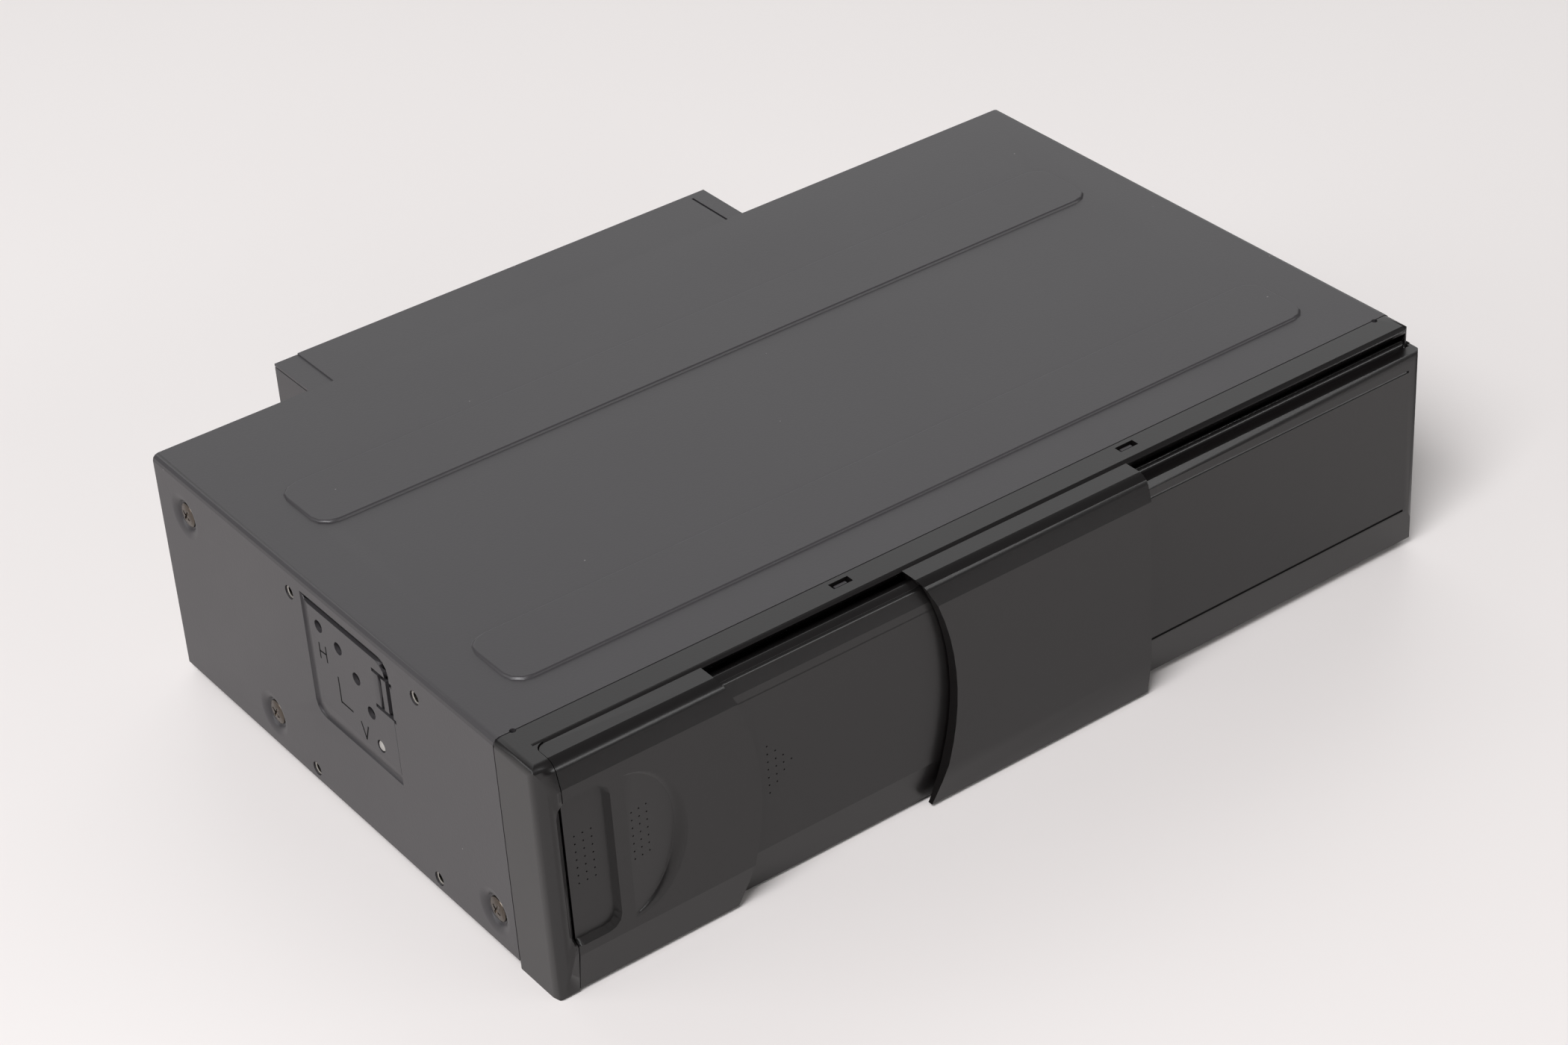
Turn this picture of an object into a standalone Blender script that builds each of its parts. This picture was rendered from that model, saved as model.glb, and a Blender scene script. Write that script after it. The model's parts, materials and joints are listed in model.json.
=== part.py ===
"""A car CD changer with a sliding shutter, a six-disc magazine and its drive, built piece by piece.

Metres, +Z up. Every size and place below is measured from the datum, the front left corner on the
floor: x to the right along the front, y back, z up. The datum empty then puts the model's origin
on the floor, below the middle of the whole unit.
"""

import math

import bmesh
import bpy
from mathutils import Vector

# Whole unit
SPINDLE_TO_SIDE = 0.0970
TOP_SPACE = 0.0118
REAR_SPACE = 0.0085
REAR_BOX_REACH = 0.0187
GAP = 0.0003
RUN_GAP = 0.0004
OVERRUN = 0.003
ARC_POINTS = 3
ROUND_SIDES = 12
FINE_SIDES = 24
SMALL_SIDES = 8

# Cover sheet, its pressed ribs, dimples and front tongues
SHEET = 0.001
COVER_FOLD = 0.0016
COVER_FOOT = 0.002
RIB_RISE = 0.0006
RIB_INSET = 0.0138
RIB_WIDTH = 0.0205
RIB_CORNER = 0.005
FRONT_RIB_Y = 0.0289
REAR_RIB_INSET = 0.0536
DIMPLE_RADIUS = 0.0036
DIMPLE_DEPTH = 0.0012
SCREW_HEAD_RADIUS = 0.0031
SCREW_HEAD = 0.0006
SCREW_RADIUS = 0.0014
SCREW_LENGTH = 0.0055
SCREW_LOW_Z = 0.0105
SCREW_FRONT_Y = 0.0249
SCREW_MIDDLE_INSET = 0.0430
SCREW_BACK_INSET = 0.0123
SCREW_HIGH_INSET = 0.0111
MOUNT_HOLE_RADIUS = 0.0018
MOUNT_HOLE_FRONT_Y = 0.0480
MOUNT_HOLE_SPACING_Y = 0.0523
MOUNT_HOLE_LOW_Z = 0.0050
MOUNT_HOLE_SPACING_Z = 0.0492
TONGUE_SHEET = 0.0008
TONGUE_WIDTH = 0.0032
TOOTH_RISE = 0.0015

# Front bezel: hood strip, channel for the leaves, frame with the magazine slot, left cap
STRIP_BACK = 0.0162
STRIP_SHEET = 0.0018
HOOD_FRONT = 0.0092
HOOD_CORNER = 0.0008
CAP_WIDTH = 0.0052
CAP_CORNER = 0.0040
CAP_BROW_Y = 0.0018
CAP_EDGE = 0.0020
HOOD_END_CORNER = 0.0020
CAP_FOLD_Z = 0.0118
CAP_LEAN = 0.0015
CAP_FOOT_CORNER = 0.0010
WEB_FRONT = 0.0124
WEB_SHEET = 0.0010
LEDGE_SHEET = 0.0015
FRAME_SHEET = 0.0015
SILL_UNDER = 0.0010
SILL_SHEET = 0.0015
GUIDE_FRONT = 0.0098
GUIDE_SHEET = 0.0007
GUIDE_RISE = 0.0024
CHEEK = 0.0020
NOTCH_WIDTH = 0.0052
NOTCH_FRONT = 0.0128
NOTCH_DEPTH = 0.0022
NOTCH_PLACES = (0.0855, 0.1673)

# Leaves and the fixed right panel
LEAF_SHEET = 0.0012
LEAF_FACE = 0.0002
LEAF_HOOK = 0.0028
LEAF_FLANGE_BACK = 0.0120
LEAF_BROW_DROP = 0.0061
LEAF_FOLD_Z = 0.0108
LEAF_FOOT_Z = 0.0010
LEAF_LEAN = 0.0014
LEAF_BROW_Y = 0.0020
LEAF_BROW_CORNER = 0.0030
LEAF_BACK_LIMIT = 0.0029
MIDDLE_SHEET = 0.0010
MIDDLE_FACE = 0.0033
MIDDLE_HOOK = 0.0017
MIDDLE_FLANGE_BACK = 0.0095
MIDDLE_BROW_DROP = 0.0049
MIDDLE_BROW_Y = 0.0047
MIDDLE_BROW_CORNER = 0.0021
MIDDLE_LEFT = 0.0440
MIDDLE_WIDTH = 0.0740
PANEL_SHEET = 0.0012
PANEL_FACE = 0.0046
PANEL_FLANGE_BACK = 0.0082
PANEL_BROW_DROP = 0.0018
PANEL_FOLD_Z = 0.0118
PANEL_FOOT_Z = 0.0023
PANEL_LEAN = 0.0014
PANEL_BROW_Y = 0.0056
PANEL_LEFT_MARGIN = 0.0050
PANEL_CORNER = 0.0030
PANEL_LINE_DEPTH = 0.0005
PANEL_LINE_WIDTH = 0.0006
PANEL_LINE_END = 0.0046
PANEL_LINE_LOW_Z = 0.0126
PANEL_LINE_HIGH_DROP = 0.0041
EDGE_RADIUS = 0.0650
EDGE_APEX_Z = 0.0310
GRIP_APEX_X = 0.0545
CENTRE_APEX_X = 0.1083
CENTRE_RIGHT = 0.1653

# Finger recess and half-moon scoop of the grip leaf
RECESS_LEFT = 0.0035
RECESS_RIGHT = 0.0168
RECESS_LOW = 0.0131
RECESS_HIGH = 0.0518
RECESS_CORNER = 0.0035
RECESS_SLOPE = 0.0009
RECESS_FLOOR_Y = 0.0019
SCOOP_LEFT = 0.0202
SCOOP_RIGHT = 0.0352
SCOOP_LOW = 0.0131
SCOOP_HIGH = 0.0511
SCOOP_BOW = 0.0210
SCOOP_SLOPE = 0.0060
PAD_LEFT = 0.0058
PAD_RIGHT = 0.0375
PAD_MARGIN = 0.0016

# Angle dial: a panel of the cover pressed inwards, with index holes on an arc, and the selector arm
DIAL_FRONT = 0.0587
DIAL_BACK = 0.0952
DIAL_LOW = 0.0245
DIAL_INSET_Z = 0.0038
DIAL_CORNER = 0.0035
DIAL_DEPTH = 0.0013
DIAL_SLOPE = 0.0026
DIAL_SLIT = 0.0022
DIAL_THIN_SLIT = 0.0006
DIAL_PIVOT_Y = 0.0902
DIAL_PIVOT_Z = 0.0275
DIAL_RADIUS = 0.0234
DIAL_HOLE_RADIUS = 0.0015
DIAL_FIRST_ANGLE = 7
DIAL_ANGLE_STEP = 20
DIAL_HOLES = 5
BRACKET_BAR_WIDTH = 0.0013
BRACKET_ARM = 0.0010
BRACKET_TAB = 0.0019
BRACKET_REACH = 0.0056
BRACKET_LOW = 0.0415
BRACKET_HIGH = 0.0521
BRACKET_BRIDGE = 0.0030
STUD_RADIUS = 0.0017
STUD_LENGTH = 0.0030
SELECTOR_SHEET = 0.0012
SELECTOR_BOSS = 0.0040
SELECTOR_TIP = 0.0026
SELECTOR_TAIL = 0.0080

# Base pan
PAN_UNDER = 0.0010
PAN_SIDE_HEIGHT = 0.0130
PAN_FRONT_HEIGHT = 0.0040
PAN_EAR_LENGTH = 0.0185
PAN_EAR_HEIGHT = 0.0130
FOOT_RADIUS = 0.0070
FOOT_FACE_RADIUS = 0.0052
FOOT_INSET_X = 0.0200
FOOT_FRONT_Y = 0.0300
FOOT_BACK_INSET = 0.0165
WIRE_HOLE_LEFT = 0.0600
WIRE_HOLE_RIGHT = 0.1150
WIRE_HOLE_LOW = 0.0140
WIRE_HOLE_HIGH = 0.0340
BOARD_LEFT = 0.0350
BOARD_RIGHT_INSET = 0.0400
BOARD_FRONT = 0.0350
BOARD_BACK_INSET = 0.0365
BOARD_SHEET = 0.0016
BOARD_POST = 0.0006
BOARD_POST_RADIUS = 0.0025
BOARD_POST_INSET = 0.0050
CHIP_HEIGHT = 0.0018

# Rear connector box
BOX_LEFT = 0.0435
BOX_RIGHT = 0.1715
BOX_LOW = 0.0080
BOX_DROP = 0.0011
BOX_SLIT_X = 0.1663
BOX_SLIT = 0.0006
BOX_SLIT_INSET = 0.0020
BOX_FOLD_X = 0.0500
POWER_X = 0.0700
POWER_Z = 0.0230
POWER_WIDTH = 0.0160
POWER_HEIGHT = 0.0100
DATA_X = 0.1000
DATA_Z = 0.0230
DATA_RADIUS = 0.0070
SOCKET_DEPTH = 0.0100
SOCKET_WALL = 0.0013

# Mechanism frame and its dampers
FRAME_SIDE_GAP = 0.0080
FRAME_BACK_SPACE = 0.0060
FLOOR_Z = 0.0075
FRAME_WALL_RISE = 0.0007
FRAME_TOP_GAP = 0.0041
FRONT_WALL_GAP = 0.0040
FRAME_RIGHT_OPEN = 0.0150
FRAME_RIGHT_TOP = 0.0200
SHELF_WIDTH = 0.0060
RAIL_INSET = 0.0050
RAIL_BACK_INSET = 0.0150
RAIL_TOP_WIDTH = 0.0050
DAMPER_RADIUS = 0.0060
DAMPER_WAIST = 0.0045
DAMPER_NECK_SHARE = 1.4
DAMPER_INSET_X = 0.0200
DAMPER_FRONT_Y = 0.0280
DAMPER_BACK_INSET = 0.0130

# Magazine: case, trays, discs
CASE_LEFT = 0.0100
CASE_MOUTH = 0.0060
CASE_FRONT = 0.0068
CASE_UNDER = 0.0170
CASE_WALL = 0.0018
CASE_SLOT_MARGIN = 0.0008
CASE_SLOT_CORNER = 0.0015
CASE_GROOVE = 0.0022
CASE_GROOVE_FRONT = 0.0148
CASE_HEADROOM = 0.0013
CASE_POCKET_HALF_WIDTH = 0.0240
CASE_POCKET_LOW = 0.0250
CASE_POCKET_HIGH = 0.0390
CASE_POCKET_DEPTH = 0.0052
TRAY_COUNT = 6
TRAY_PITCH = 0.0046
TRAY_Z = 0.0205
TRAY_SHEET = 0.0027
TRAY_POCKET = 0.0015
TRAY_CORNER = 0.0030
TRAY_END_GAP = 0.0010
DISC_INSET = 0.0060
DISC_RADIUS = 0.0600
DISC_HOLE = 0.0075
DISC_SHEET = 0.0012
DISC_MARGIN = 0.0008
DISC_END_SPACE = 0.0052
BAY_HALF_WIDTH = 0.0230

# Draw: T-head slot of the trays, puller, screw, motor
SPINDLE_INSET = 0.0024
HEAD_LENGTH = 0.0018
HEAD_WIDTH = 0.0044
HEAD_INSET = 0.0042
HEAD_BACK_INSET = 0.0065
NECK_WIDTH = 0.0020
HEAD_RISE = 0.0038
NUT_LENGTH = 0.0050
NUT_FRONT = 0.0429
NUT_WIDTH = 0.0044
NUT_LOW = 0.0125
DRAW_SCREW_RADIUS = 0.0015
DRAW_SCREW_Z = 0.0164
DRAW_POST = 0.0020
DRAW_MOTOR_LENGTH = 0.0100

# Drive deck and what it carries
DECK_LEFT_GAP = 0.0006
DECK_RIGHT_GAP = 0.0040
DECK_Z = 0.0100
DECK_SHEET = 0.0012
DECK_FRONT = 0.0124
DECK_BACK_GAP = 0.0040
DECK_LIP_RISE = 0.0040
DECK_LIP_LEFT_INSET = 0.0074
DECK_LIP_RIGHT_INSET = 0.0120
DECK_BAY_MARGIN = 0.0010
DECK_BAY_RIGHT_MARGIN = 0.0050
SPINDLE_RADIUS = 0.0110
SPINDLE_HEIGHT = 0.0057
SHAFT_RADIUS = 0.0010
PLATTER_RADIUS = 0.0130
PLATTER_SHEET = 0.0014
PLATTER_HUB_RADIUS = 0.0072
PLATTER_HUB = 0.0010
SLED_GAP = 0.0060
SLED_LENGTH = 0.0200
SLED_HALF_WIDTH = 0.0180
SLED_LOW = 0.0122
SLED_HIGH = 0.0186
SLED_TRAVEL = 0.0330
LENS_RADIUS = 0.0030
LENS_RISE = 0.0010
ROD_RADIUS = 0.0015
ROD_Z = 0.0146
ROD_OFFSET = 0.0140
POST_RIGHT_INSET = 0.0100
POST_LENGTH = 0.0030
POST_HALF_WIDTH = 0.0030
POST_TOP = 0.0175
FEED_SCREW_OFFSET = 0.0100
FEED_SCREW_RADIUS = 0.0012
FEED_MOTOR_LENGTH = 0.0065
CLAMP_PIVOT_INSET = 0.0035
CLAMP_PIVOT_Z = 0.0275
CLAMP_REACH = 0.0080
CLAMP_HALF_WIDTH = 0.0080
CLAMP_SHEET = 0.0012
CLAMP_HUB_RADIUS = 0.0022
CLAMP_PIN_RADIUS = 0.0012
CLAMP_POST = 0.0032
CLAMP_POST_LENGTH = 0.0050
PUCK_RADIUS = 0.0120
PUCK_LOW = 0.0240
PUCK_SHEET = 0.0014
PUCK_STEM_RADIUS = 0.0018
PUCK_HEAD_RADIUS = 0.0035
PUCK_HEAD = 0.0010

# Lift: cam plates, rack, gear and motor
CAM_SLOPE = 1.25
CAM_SHEET = 0.0012
CAM_LEFT_INSET = 0.0010
CAM_RIGHT_INSET = 0.0040
CAM_TOP = 0.0385
PIN_RADIUS = 0.0015
PIN_LEFT_INSET = 0.0200
PIN_RIGHT_INSET = 0.0070
PIN_Z = 0.0125
GEAR_MODULE = 0.0008
GEAR_TEETH = 16
GEAR_INSET = 0.0120
GEAR_HEIGHT = 0.0026
GEAR_BORE = 0.0015
RACK_HEIGHT = 0.0030
RACK_TEETH = 12
LIFT_SHAFT_RADIUS = 0.0012
LIFT_MOTOR_RADIUS = 0.0090
LIFT_MOTOR_HEIGHT = 0.0044

# Eject button
BUTTON_WIDTH = 0.0180
BUTTON_INSET = 0.0040
BUTTON_LOW = 0.0060
BUTTON_HIGH = 0.0110
BUTTON_FRONT = 0.0057
BUTTON_BACK = 0.0140
BUTTON_TRAVEL = 0.0030
BUTTON_HEM = 0.0013
BUTTON_CORNER = 0.0008

# Worked out from the sizes above
CASE_FLOOR = CASE_UNDER + CASE_WALL
CASE_CEILING = TRAY_Z + TRAY_PITCH * (TRAY_COUNT - 1) + TRAY_SHEET + CASE_HEADROOM
CASE_TOP = CASE_CEILING + CASE_WALL
TOP = CASE_TOP + TOP_SPACE
CASE_GROOVE_BACK = CASE_GROOVE_FRONT + 2 * (DISC_RADIUS + DISC_END_SPACE)
CASE_BACK = CASE_GROOVE_BACK + CASE_WALL
FRAME_BACK_Y = CASE_BACK + FRAME_BACK_SPACE
BODY_DEPTH = FRAME_BACK_Y + REAR_SPACE
DEPTH = BODY_DEPTH + REAR_BOX_REACH
DISC_X = CASE_LEFT + DISC_RADIUS + DISC_INSET
CASE_RIGHT = DISC_X + DISC_RADIUS + CASE_MOUTH
CASE_POCKET_LEFT = DISC_X - CASE_POCKET_HALF_WIDTH
CASE_POCKET_RIGHT = DISC_X + CASE_POCKET_HALF_WIDTH
TRAY_LEFT = CASE_LEFT + CASE_WALL + TRAY_POCKET / 2
TRAY_RIGHT = CASE_RIGHT - TRAY_END_GAP
TRAY_FRONT = CASE_GROOVE_FRONT + GAP
TRAY_BACK = CASE_GROOVE_BACK - GAP
DISC_Y = (TRAY_FRONT + TRAY_BACK) / 2
DECK_LEFT = CASE_RIGHT + DECK_LEFT_GAP
SPINDLE_X = DECK_LEFT + PLATTER_RADIUS + SPINDLE_INSET
DRAW_TRAVEL = SPINDLE_X - DISC_X
WIDTH = SPINDLE_X + SPINDLE_TO_SIDE
FRAME_LEFT = FRAME_SIDE_GAP
FRAME_RIGHT = WIDTH - FRAME_SIDE_GAP
DECK_RIGHT = FRAME_RIGHT - DECK_RIGHT_GAP
DECK_BACK = FRAME_BACK_Y - DECK_BACK_GAP
COVER_FRONT = STRIP_BACK + GAP
REAR_RIB_Y = BODY_DEPTH - REAR_RIB_INSET
SCREW_PLACES = (
    (SCREW_FRONT_Y, SCREW_LOW_Z),
    (BODY_DEPTH - SCREW_MIDDLE_INSET, SCREW_LOW_Z),
    (BODY_DEPTH - SCREW_BACK_INSET, TOP - SCREW_HIGH_INSET),
)
STRIP_UNDER = TOP - STRIP_SHEET
LEAF_TOP = TOP - GAP
LEAF_STEP_Y = HOOD_FRONT - GAP
LEAF_STEP_INSIDE = LEAF_STEP_Y - LEAF_SHEET
LEAF_RAIL_TOP = STRIP_UNDER - GAP
LEAF_RAIL_UNDER = LEAF_RAIL_TOP - LEAF_SHEET
LEAF_HOOK_Z = LEAF_RAIL_TOP - LEAF_HOOK
LEAF_CREASE_Z = LEAF_TOP - LEAF_BROW_DROP
MIDDLE_TOP = LEAF_TOP - LEAF_SHEET - RUN_GAP
MIDDLE_STEP_Y = LEAF_STEP_INSIDE - RUN_GAP
MIDDLE_RAIL_TOP = LEAF_RAIL_UNDER - RUN_GAP
MIDDLE_HOOK_Z = MIDDLE_RAIL_TOP - MIDDLE_HOOK
MIDDLE_CREASE_Z = MIDDLE_TOP - MIDDLE_BROW_DROP
PANEL_TOP = MIDDLE_RAIL_TOP - MIDDLE_SHEET - GAP
PANEL_CREASE_Z = PANEL_TOP - PANEL_BROW_DROP
PANEL_LEFT = CASE_RIGHT + PANEL_LEFT_MARGIN
PANEL_LINE_PLACES = (PANEL_LINE_LOW_Z, PANEL_TOP - PANEL_LINE_HIGH_DROP)
WEB_BACK = WEB_FRONT + WEB_SHEET
FRAME_FACE = PANEL_FACE + PANEL_SHEET + GAP
FRAME_BACK = FRAME_FACE + FRAME_SHEET
FRAME_LEAN = PANEL_LEAN / (PANEL_FOLD_Z - PANEL_FOOT_Z)
LEDGE_TOP = PANEL_TOP - PANEL_SHEET - GAP
LEDGE_UNDER = LEDGE_TOP - LEDGE_SHEET
PAN_LEFT = SHEET + DIMPLE_DEPTH + GAP
PAN_FRONT = COVER_FRONT + GAP
PAN_EAR_FRONT = BODY_DEPTH - PAN_EAR_LENGTH
FRAME_REAR_TOP = TOP - FRAME_TOP_GAP
FRAME_WALL_TOP = CASE_TOP + FRAME_WALL_RISE
PAN_EAR_LOW = FRAME_REAR_TOP - PAN_EAR_HEIGHT
FOOT_BACK_Y = BODY_DEPTH - FOOT_BACK_INSET
BOARD_RIGHT = WIDTH - BOARD_RIGHT_INSET
BOARD_BACK = BODY_DEPTH - BOARD_BACK_INSET
BOX_HIGH = TOP - BOX_DROP
DIAL_HIGH = TOP - DIAL_INSET_Z
DIAL_INSIDE = DIAL_DEPTH + SHEET
SELECTOR_X = DIAL_INSIDE + GAP
FLOOR_TOP = FLOOR_Z + SHEET
FRONT_WALL_LEFT = CASE_RIGHT + FRONT_WALL_GAP
RAIL_X = CASE_RIGHT - RAIL_INSET
RAIL_BACK = CASE_BACK - RAIL_BACK_INSET
DAMPER_BACK_Y = FRAME_BACK_Y - DAMPER_BACK_INSET
DECK_TOP = DECK_Z + DECK_SHEET
DRAW_MOTOR_RADIUS = DRAW_SCREW_Z - DECK_TOP - GAP
FEED_MOTOR_RADIUS = ROD_Z - DECK_TOP - GAP
HEAD_X = TRAY_RIGHT - HEAD_INSET
HEAD_Y = CASE_BACK - HEAD_BACK_INSET
NUT_X = DECK_LEFT + DRAW_POST + GAP
DRAW_SCREW_Y = DECK_BACK - DECK_SHEET - RUN_GAP - NUT_WIDTH / 2
SLED_LEFT = SPINDLE_X + PLATTER_RADIUS + SLED_GAP
SLED_FRONT = DISC_Y - SLED_HALF_WIDTH
SLED_BACK = DISC_Y + SLED_HALF_WIDTH
ROD_FRONT_Y = DISC_Y - ROD_OFFSET
ROD_BACK_Y = DISC_Y + ROD_OFFSET
FEED_SCREW_Y = ROD_BACK_Y + FEED_SCREW_OFFSET
POST_LEFT = SLED_LEFT - SLED_GAP
POST_RIGHT = DECK_RIGHT - POST_RIGHT_INSET
DECK_LIP_LEFT = DECK_LEFT + DECK_LIP_LEFT_INSET
DECK_LIP_RIGHT = DECK_RIGHT - DECK_LIP_RIGHT_INSET
DECK_BAY_LEFT = SLED_LEFT - DECK_BAY_MARGIN
DECK_BAY_RIGHT = POST_RIGHT - DECK_BAY_RIGHT_MARGIN
CLAMP_PIVOT_X = DECK_RIGHT - CLAMP_PIVOT_INSET
CLAMP_LEFT = SPINDLE_X - CLAMP_REACH
FRAME_FRONT_Y = FRAME_BACK + FRAME_LEAN * (PANEL_FOLD_Z - FLOOR_Z) + RUN_GAP
CAM_LEFT = FRONT_WALL_LEFT + CAM_LEFT_INSET
CAM_RIGHT = DECK_LIP_RIGHT - CAM_RIGHT_INSET
CAM_FRONT_Y = FRAME_FRONT_Y + SHEET + GAP
CAM_BACK_Y = FRAME_BACK_Y - SHEET - GAP
CAM_LOW = FLOOR_TOP + GAP
LIFT_TRAVEL = TRAY_PITCH * (TRAY_COUNT - 1)
CAM_TRAVEL = LIFT_TRAVEL / CAM_SLOPE
PIN_PLACES = (DECK_LIP_LEFT + PIN_LEFT_INSET, DECK_LIP_RIGHT - PIN_RIGHT_INSET)
GEAR_X = CASE_RIGHT - GEAR_INSET
RACK_PITCH = math.pi * GEAR_MODULE
RACK_ROOT_Y = CAM_BACK_Y - CAM_SHEET - GEAR_MODULE / 8
RACK_PITCH_Y = RACK_ROOT_Y - 1.25 * GEAR_MODULE
GEAR_RADIUS = GEAR_MODULE * GEAR_TEETH / 2
GEAR_Y = RACK_PITCH_Y - GEAR_RADIUS
BUTTON_RIGHT = CASE_RIGHT - BUTTON_INSET
BUTTON_LEFT = BUTTON_RIGHT - BUTTON_WIDTH


def clear_scene():
    for old in list(bpy.data.objects):
        bpy.data.objects.remove(old)


def finish(name, colour, roughness, metallic):
    """One material for a kind of piece."""
    made = bpy.data.materials.new(name)
    made.use_nodes = True
    shader = made.node_tree.nodes["Principled BSDF"]
    shader.inputs["Base Color"].default_value = (*colour, 1)
    shader.inputs["Roughness"].default_value = roughness
    shader.inputs["Metallic"].default_value = metallic
    made.diffuse_color = (*colour, 1)
    return made


def place(axis, u, v, w):
    """The point at (u, v) in the outline's plane and w along the axis that the outline is swept on."""
    return {"X": (w, u, v), "Y": (u, w, v), "Z": (u, v, w)}[axis]


def filleted(corners):
    """An outline from (u, v) or (u, v, radius) corners, its round corners drawn as arcs."""
    points = []
    count = len(corners)
    for index, corner in enumerate(corners):
        here = Vector(corner[:2])
        radius = corner[2] if len(corner) > 2 else 0
        if not radius:
            points.append(tuple(here))
            continue
        before = (Vector(corners[index - 1][:2]) - here).normalized()
        after = (Vector(corners[(index + 1) % count][:2]) - here).normalized()
        half = before.angle(after) / 2
        centre = here + (before + after).normalized() * radius / math.sin(half)
        start = here + before * radius / math.tan(half) - centre
        end = here + after * radius / math.tan(half) - centre
        for step in range(ARC_POINTS + 1):
            share = step / ARC_POINTS
            turn = start.angle(end)
            blend = (start * math.sin((1 - share) * turn) + end * math.sin(share * turn)) / math.sin(turn)
            points.append(tuple(centre + blend))
    return points


def rounded(low_u, high_u, low_v, high_v, radius):
    """A rectangle with round corners."""
    corners = ((low_u, low_v), (high_u, low_v), (high_u, high_v), (low_u, high_v))
    return filleted([(u, v, radius) for u, v in corners])


def circle(u, v, radius, sides=ROUND_SIDES):
    turns = [2 * math.pi * step / sides for step in range(sides)]
    return [(u + radius * math.cos(turn), v + radius * math.sin(turn)) for turn in turns]


def stadium(start, end, radius):
    """A slot with round ends around the line from start to end."""
    start = Vector(start)
    end = Vector(end)
    heading = math.atan2(end.y - start.y, end.x - start.x)
    points = []
    for centre, first in ((start, heading + math.pi / 2), (end, heading - math.pi / 2)):
        for step in range(2 * ARC_POINTS + 1):
            turn = first + math.pi * step / (2 * ARC_POINTS)
            points.append((centre.x + radius * math.cos(turn), centre.y + radius * math.sin(turn)))
    return points


def thick(path, sheet):
    """The outline of a bent sheet whose outer face follows the path, its thickness on the path's right."""
    inner = []
    for index, point in enumerate(path):
        here = Vector(point)
        before = (here - Vector(path[index - 1])).normalized() if index else None
        after = (Vector(path[index + 1]) - here).normalized() if index + 1 < len(path) else None
        before = before or after
        after = after or before
        right_before = Vector((before.y, -before.x))
        right_after = Vector((after.y, -after.x))
        mitre = (right_before + right_after).normalized()
        inner.append(tuple(here + mitre * sheet / mitre.dot(right_before)))
    return list(path) + inner[::-1]


def loft(rings):
    """A closed solid through rings of equally many points."""
    shape = bmesh.new()
    loops = [[shape.verts.new(point) for point in ring] for ring in rings]
    count = len(loops[0])
    for low, high in zip(loops, loops[1:]):
        for index in range(count):
            after = (index + 1) % count
            shape.faces.new((low[index], low[after], high[after], high[index]))
    shape.faces.new(loops[0][::-1])
    shape.faces.new(loops[-1])
    bmesh.ops.recalc_face_normals(shape, faces=shape.faces)
    return shape


def prism(outline, axis, start, end):
    """The outline swept along an axis from start to end."""
    return loft([[place(axis, u, v, w) for u, v in outline] for w in (start, end)])


def box(low_x, high_x, low_y, high_y, low_z, high_z):
    return prism(((low_x, low_y), (high_x, low_y), (high_x, high_y), (low_x, high_y)), "Z", low_z, high_z)


def rod(axis, u, v, radius, start, end, sides=ROUND_SIDES):
    return prism(circle(u, v, radius, sides), axis, start, end)


def turned(axis, u, v, profile, sides=ROUND_SIDES):
    """A turned solid about the axis through (u, v), from (radius, height) stations."""
    rings = []
    for radius, height in profile:
        rings.append([place(axis, a, b, height) for a, b in circle(u, v, radius, sides)])
    return loft(rings)


def tube(axis, u, v, radius, bore, start, end, sides=ROUND_SIDES):
    """A ring swept along an axis."""
    shape = bmesh.new()
    loops = []
    for size, height in ((radius, start), (radius, end), (bore, end), (bore, start)):
        ring = [place(axis, a, b, height) for a, b in circle(u, v, size, sides)]
        loops.append([shape.verts.new(point) for point in ring])
    for low, high in zip(loops, loops[1:] + loops[:1]):
        for index in range(sides):
            after = (index + 1) % sides
            shape.faces.new((low[index], low[after], high[after], high[index]))
    bmesh.ops.recalc_face_normals(shape, faces=shape.faces)
    return shape


def joined(shapes):
    """Shapes that don't touch, gathered into one."""
    whole = bmesh.new()
    for shape in shapes:
        mesh = bpy.data.meshes.new("gathered")
        shape.to_mesh(mesh)
        whole.from_mesh(mesh)
        shape.free()
        bpy.data.meshes.remove(mesh)
    return whole


def across(shape):
    """The same shape on the unit's other side, mirrored about its middle plane."""
    for vert in shape.verts:
        vert.co.x = WIDTH - vert.co.x
    bmesh.ops.reverse_faces(shape, faces=shape.faces)
    return shape


def helper(name, shape):
    """A hidden mesh that shapes a piece: a cutter, or a block that is joined to it."""
    mesh = bpy.data.meshes.new(name)
    shape.to_mesh(mesh)
    shape.free()
    made = bpy.data.objects.new(name, mesh)
    bpy.context.scene.collection.objects.link(made)
    made.hide_render = True
    made.display_type = "WIRE"
    made.parent = DATUM
    return made


def shape_with(target, operation, other):
    step = target.modifiers.new(operation.title(), "BOOLEAN")
    step.operation = operation
    step.object = other


def piece(name, shape, material, steps=(), origin=(0, 0, 0)):
    """A named piece, its origin where it turns or slides, shaped by (operation, shape) steps."""
    mesh = bpy.data.meshes.new(name)
    bmesh.ops.translate(shape, verts=shape.verts, vec=-Vector(origin))
    shape.to_mesh(mesh)
    shape.free()
    mesh.materials.append(material)
    made = bpy.data.objects.new(name, mesh)
    bpy.context.scene.collection.objects.link(made)
    made.parent = DATUM
    made.location = origin
    for number, (operation, other) in enumerate(steps, 1):
        if not isinstance(other, bpy.types.Object):
            other = helper(f"{name}_{operation.lower()}_{number}", other)
        shape_with(made, operation, other)
    mesh.shade_smooth()
    mesh.set_sharp_from_angle(angle=math.radians(30))
    return made


def both_sides(maker):
    """A shape for the left side, gathered with its mirror image on the right side."""
    return joined([maker(), across(maker())])


def side_rods(places, radius, start, end, sides=ROUND_SIDES):
    return joined([rod("X", y, z, radius, start, end, sides) for y, z in places])


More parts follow.
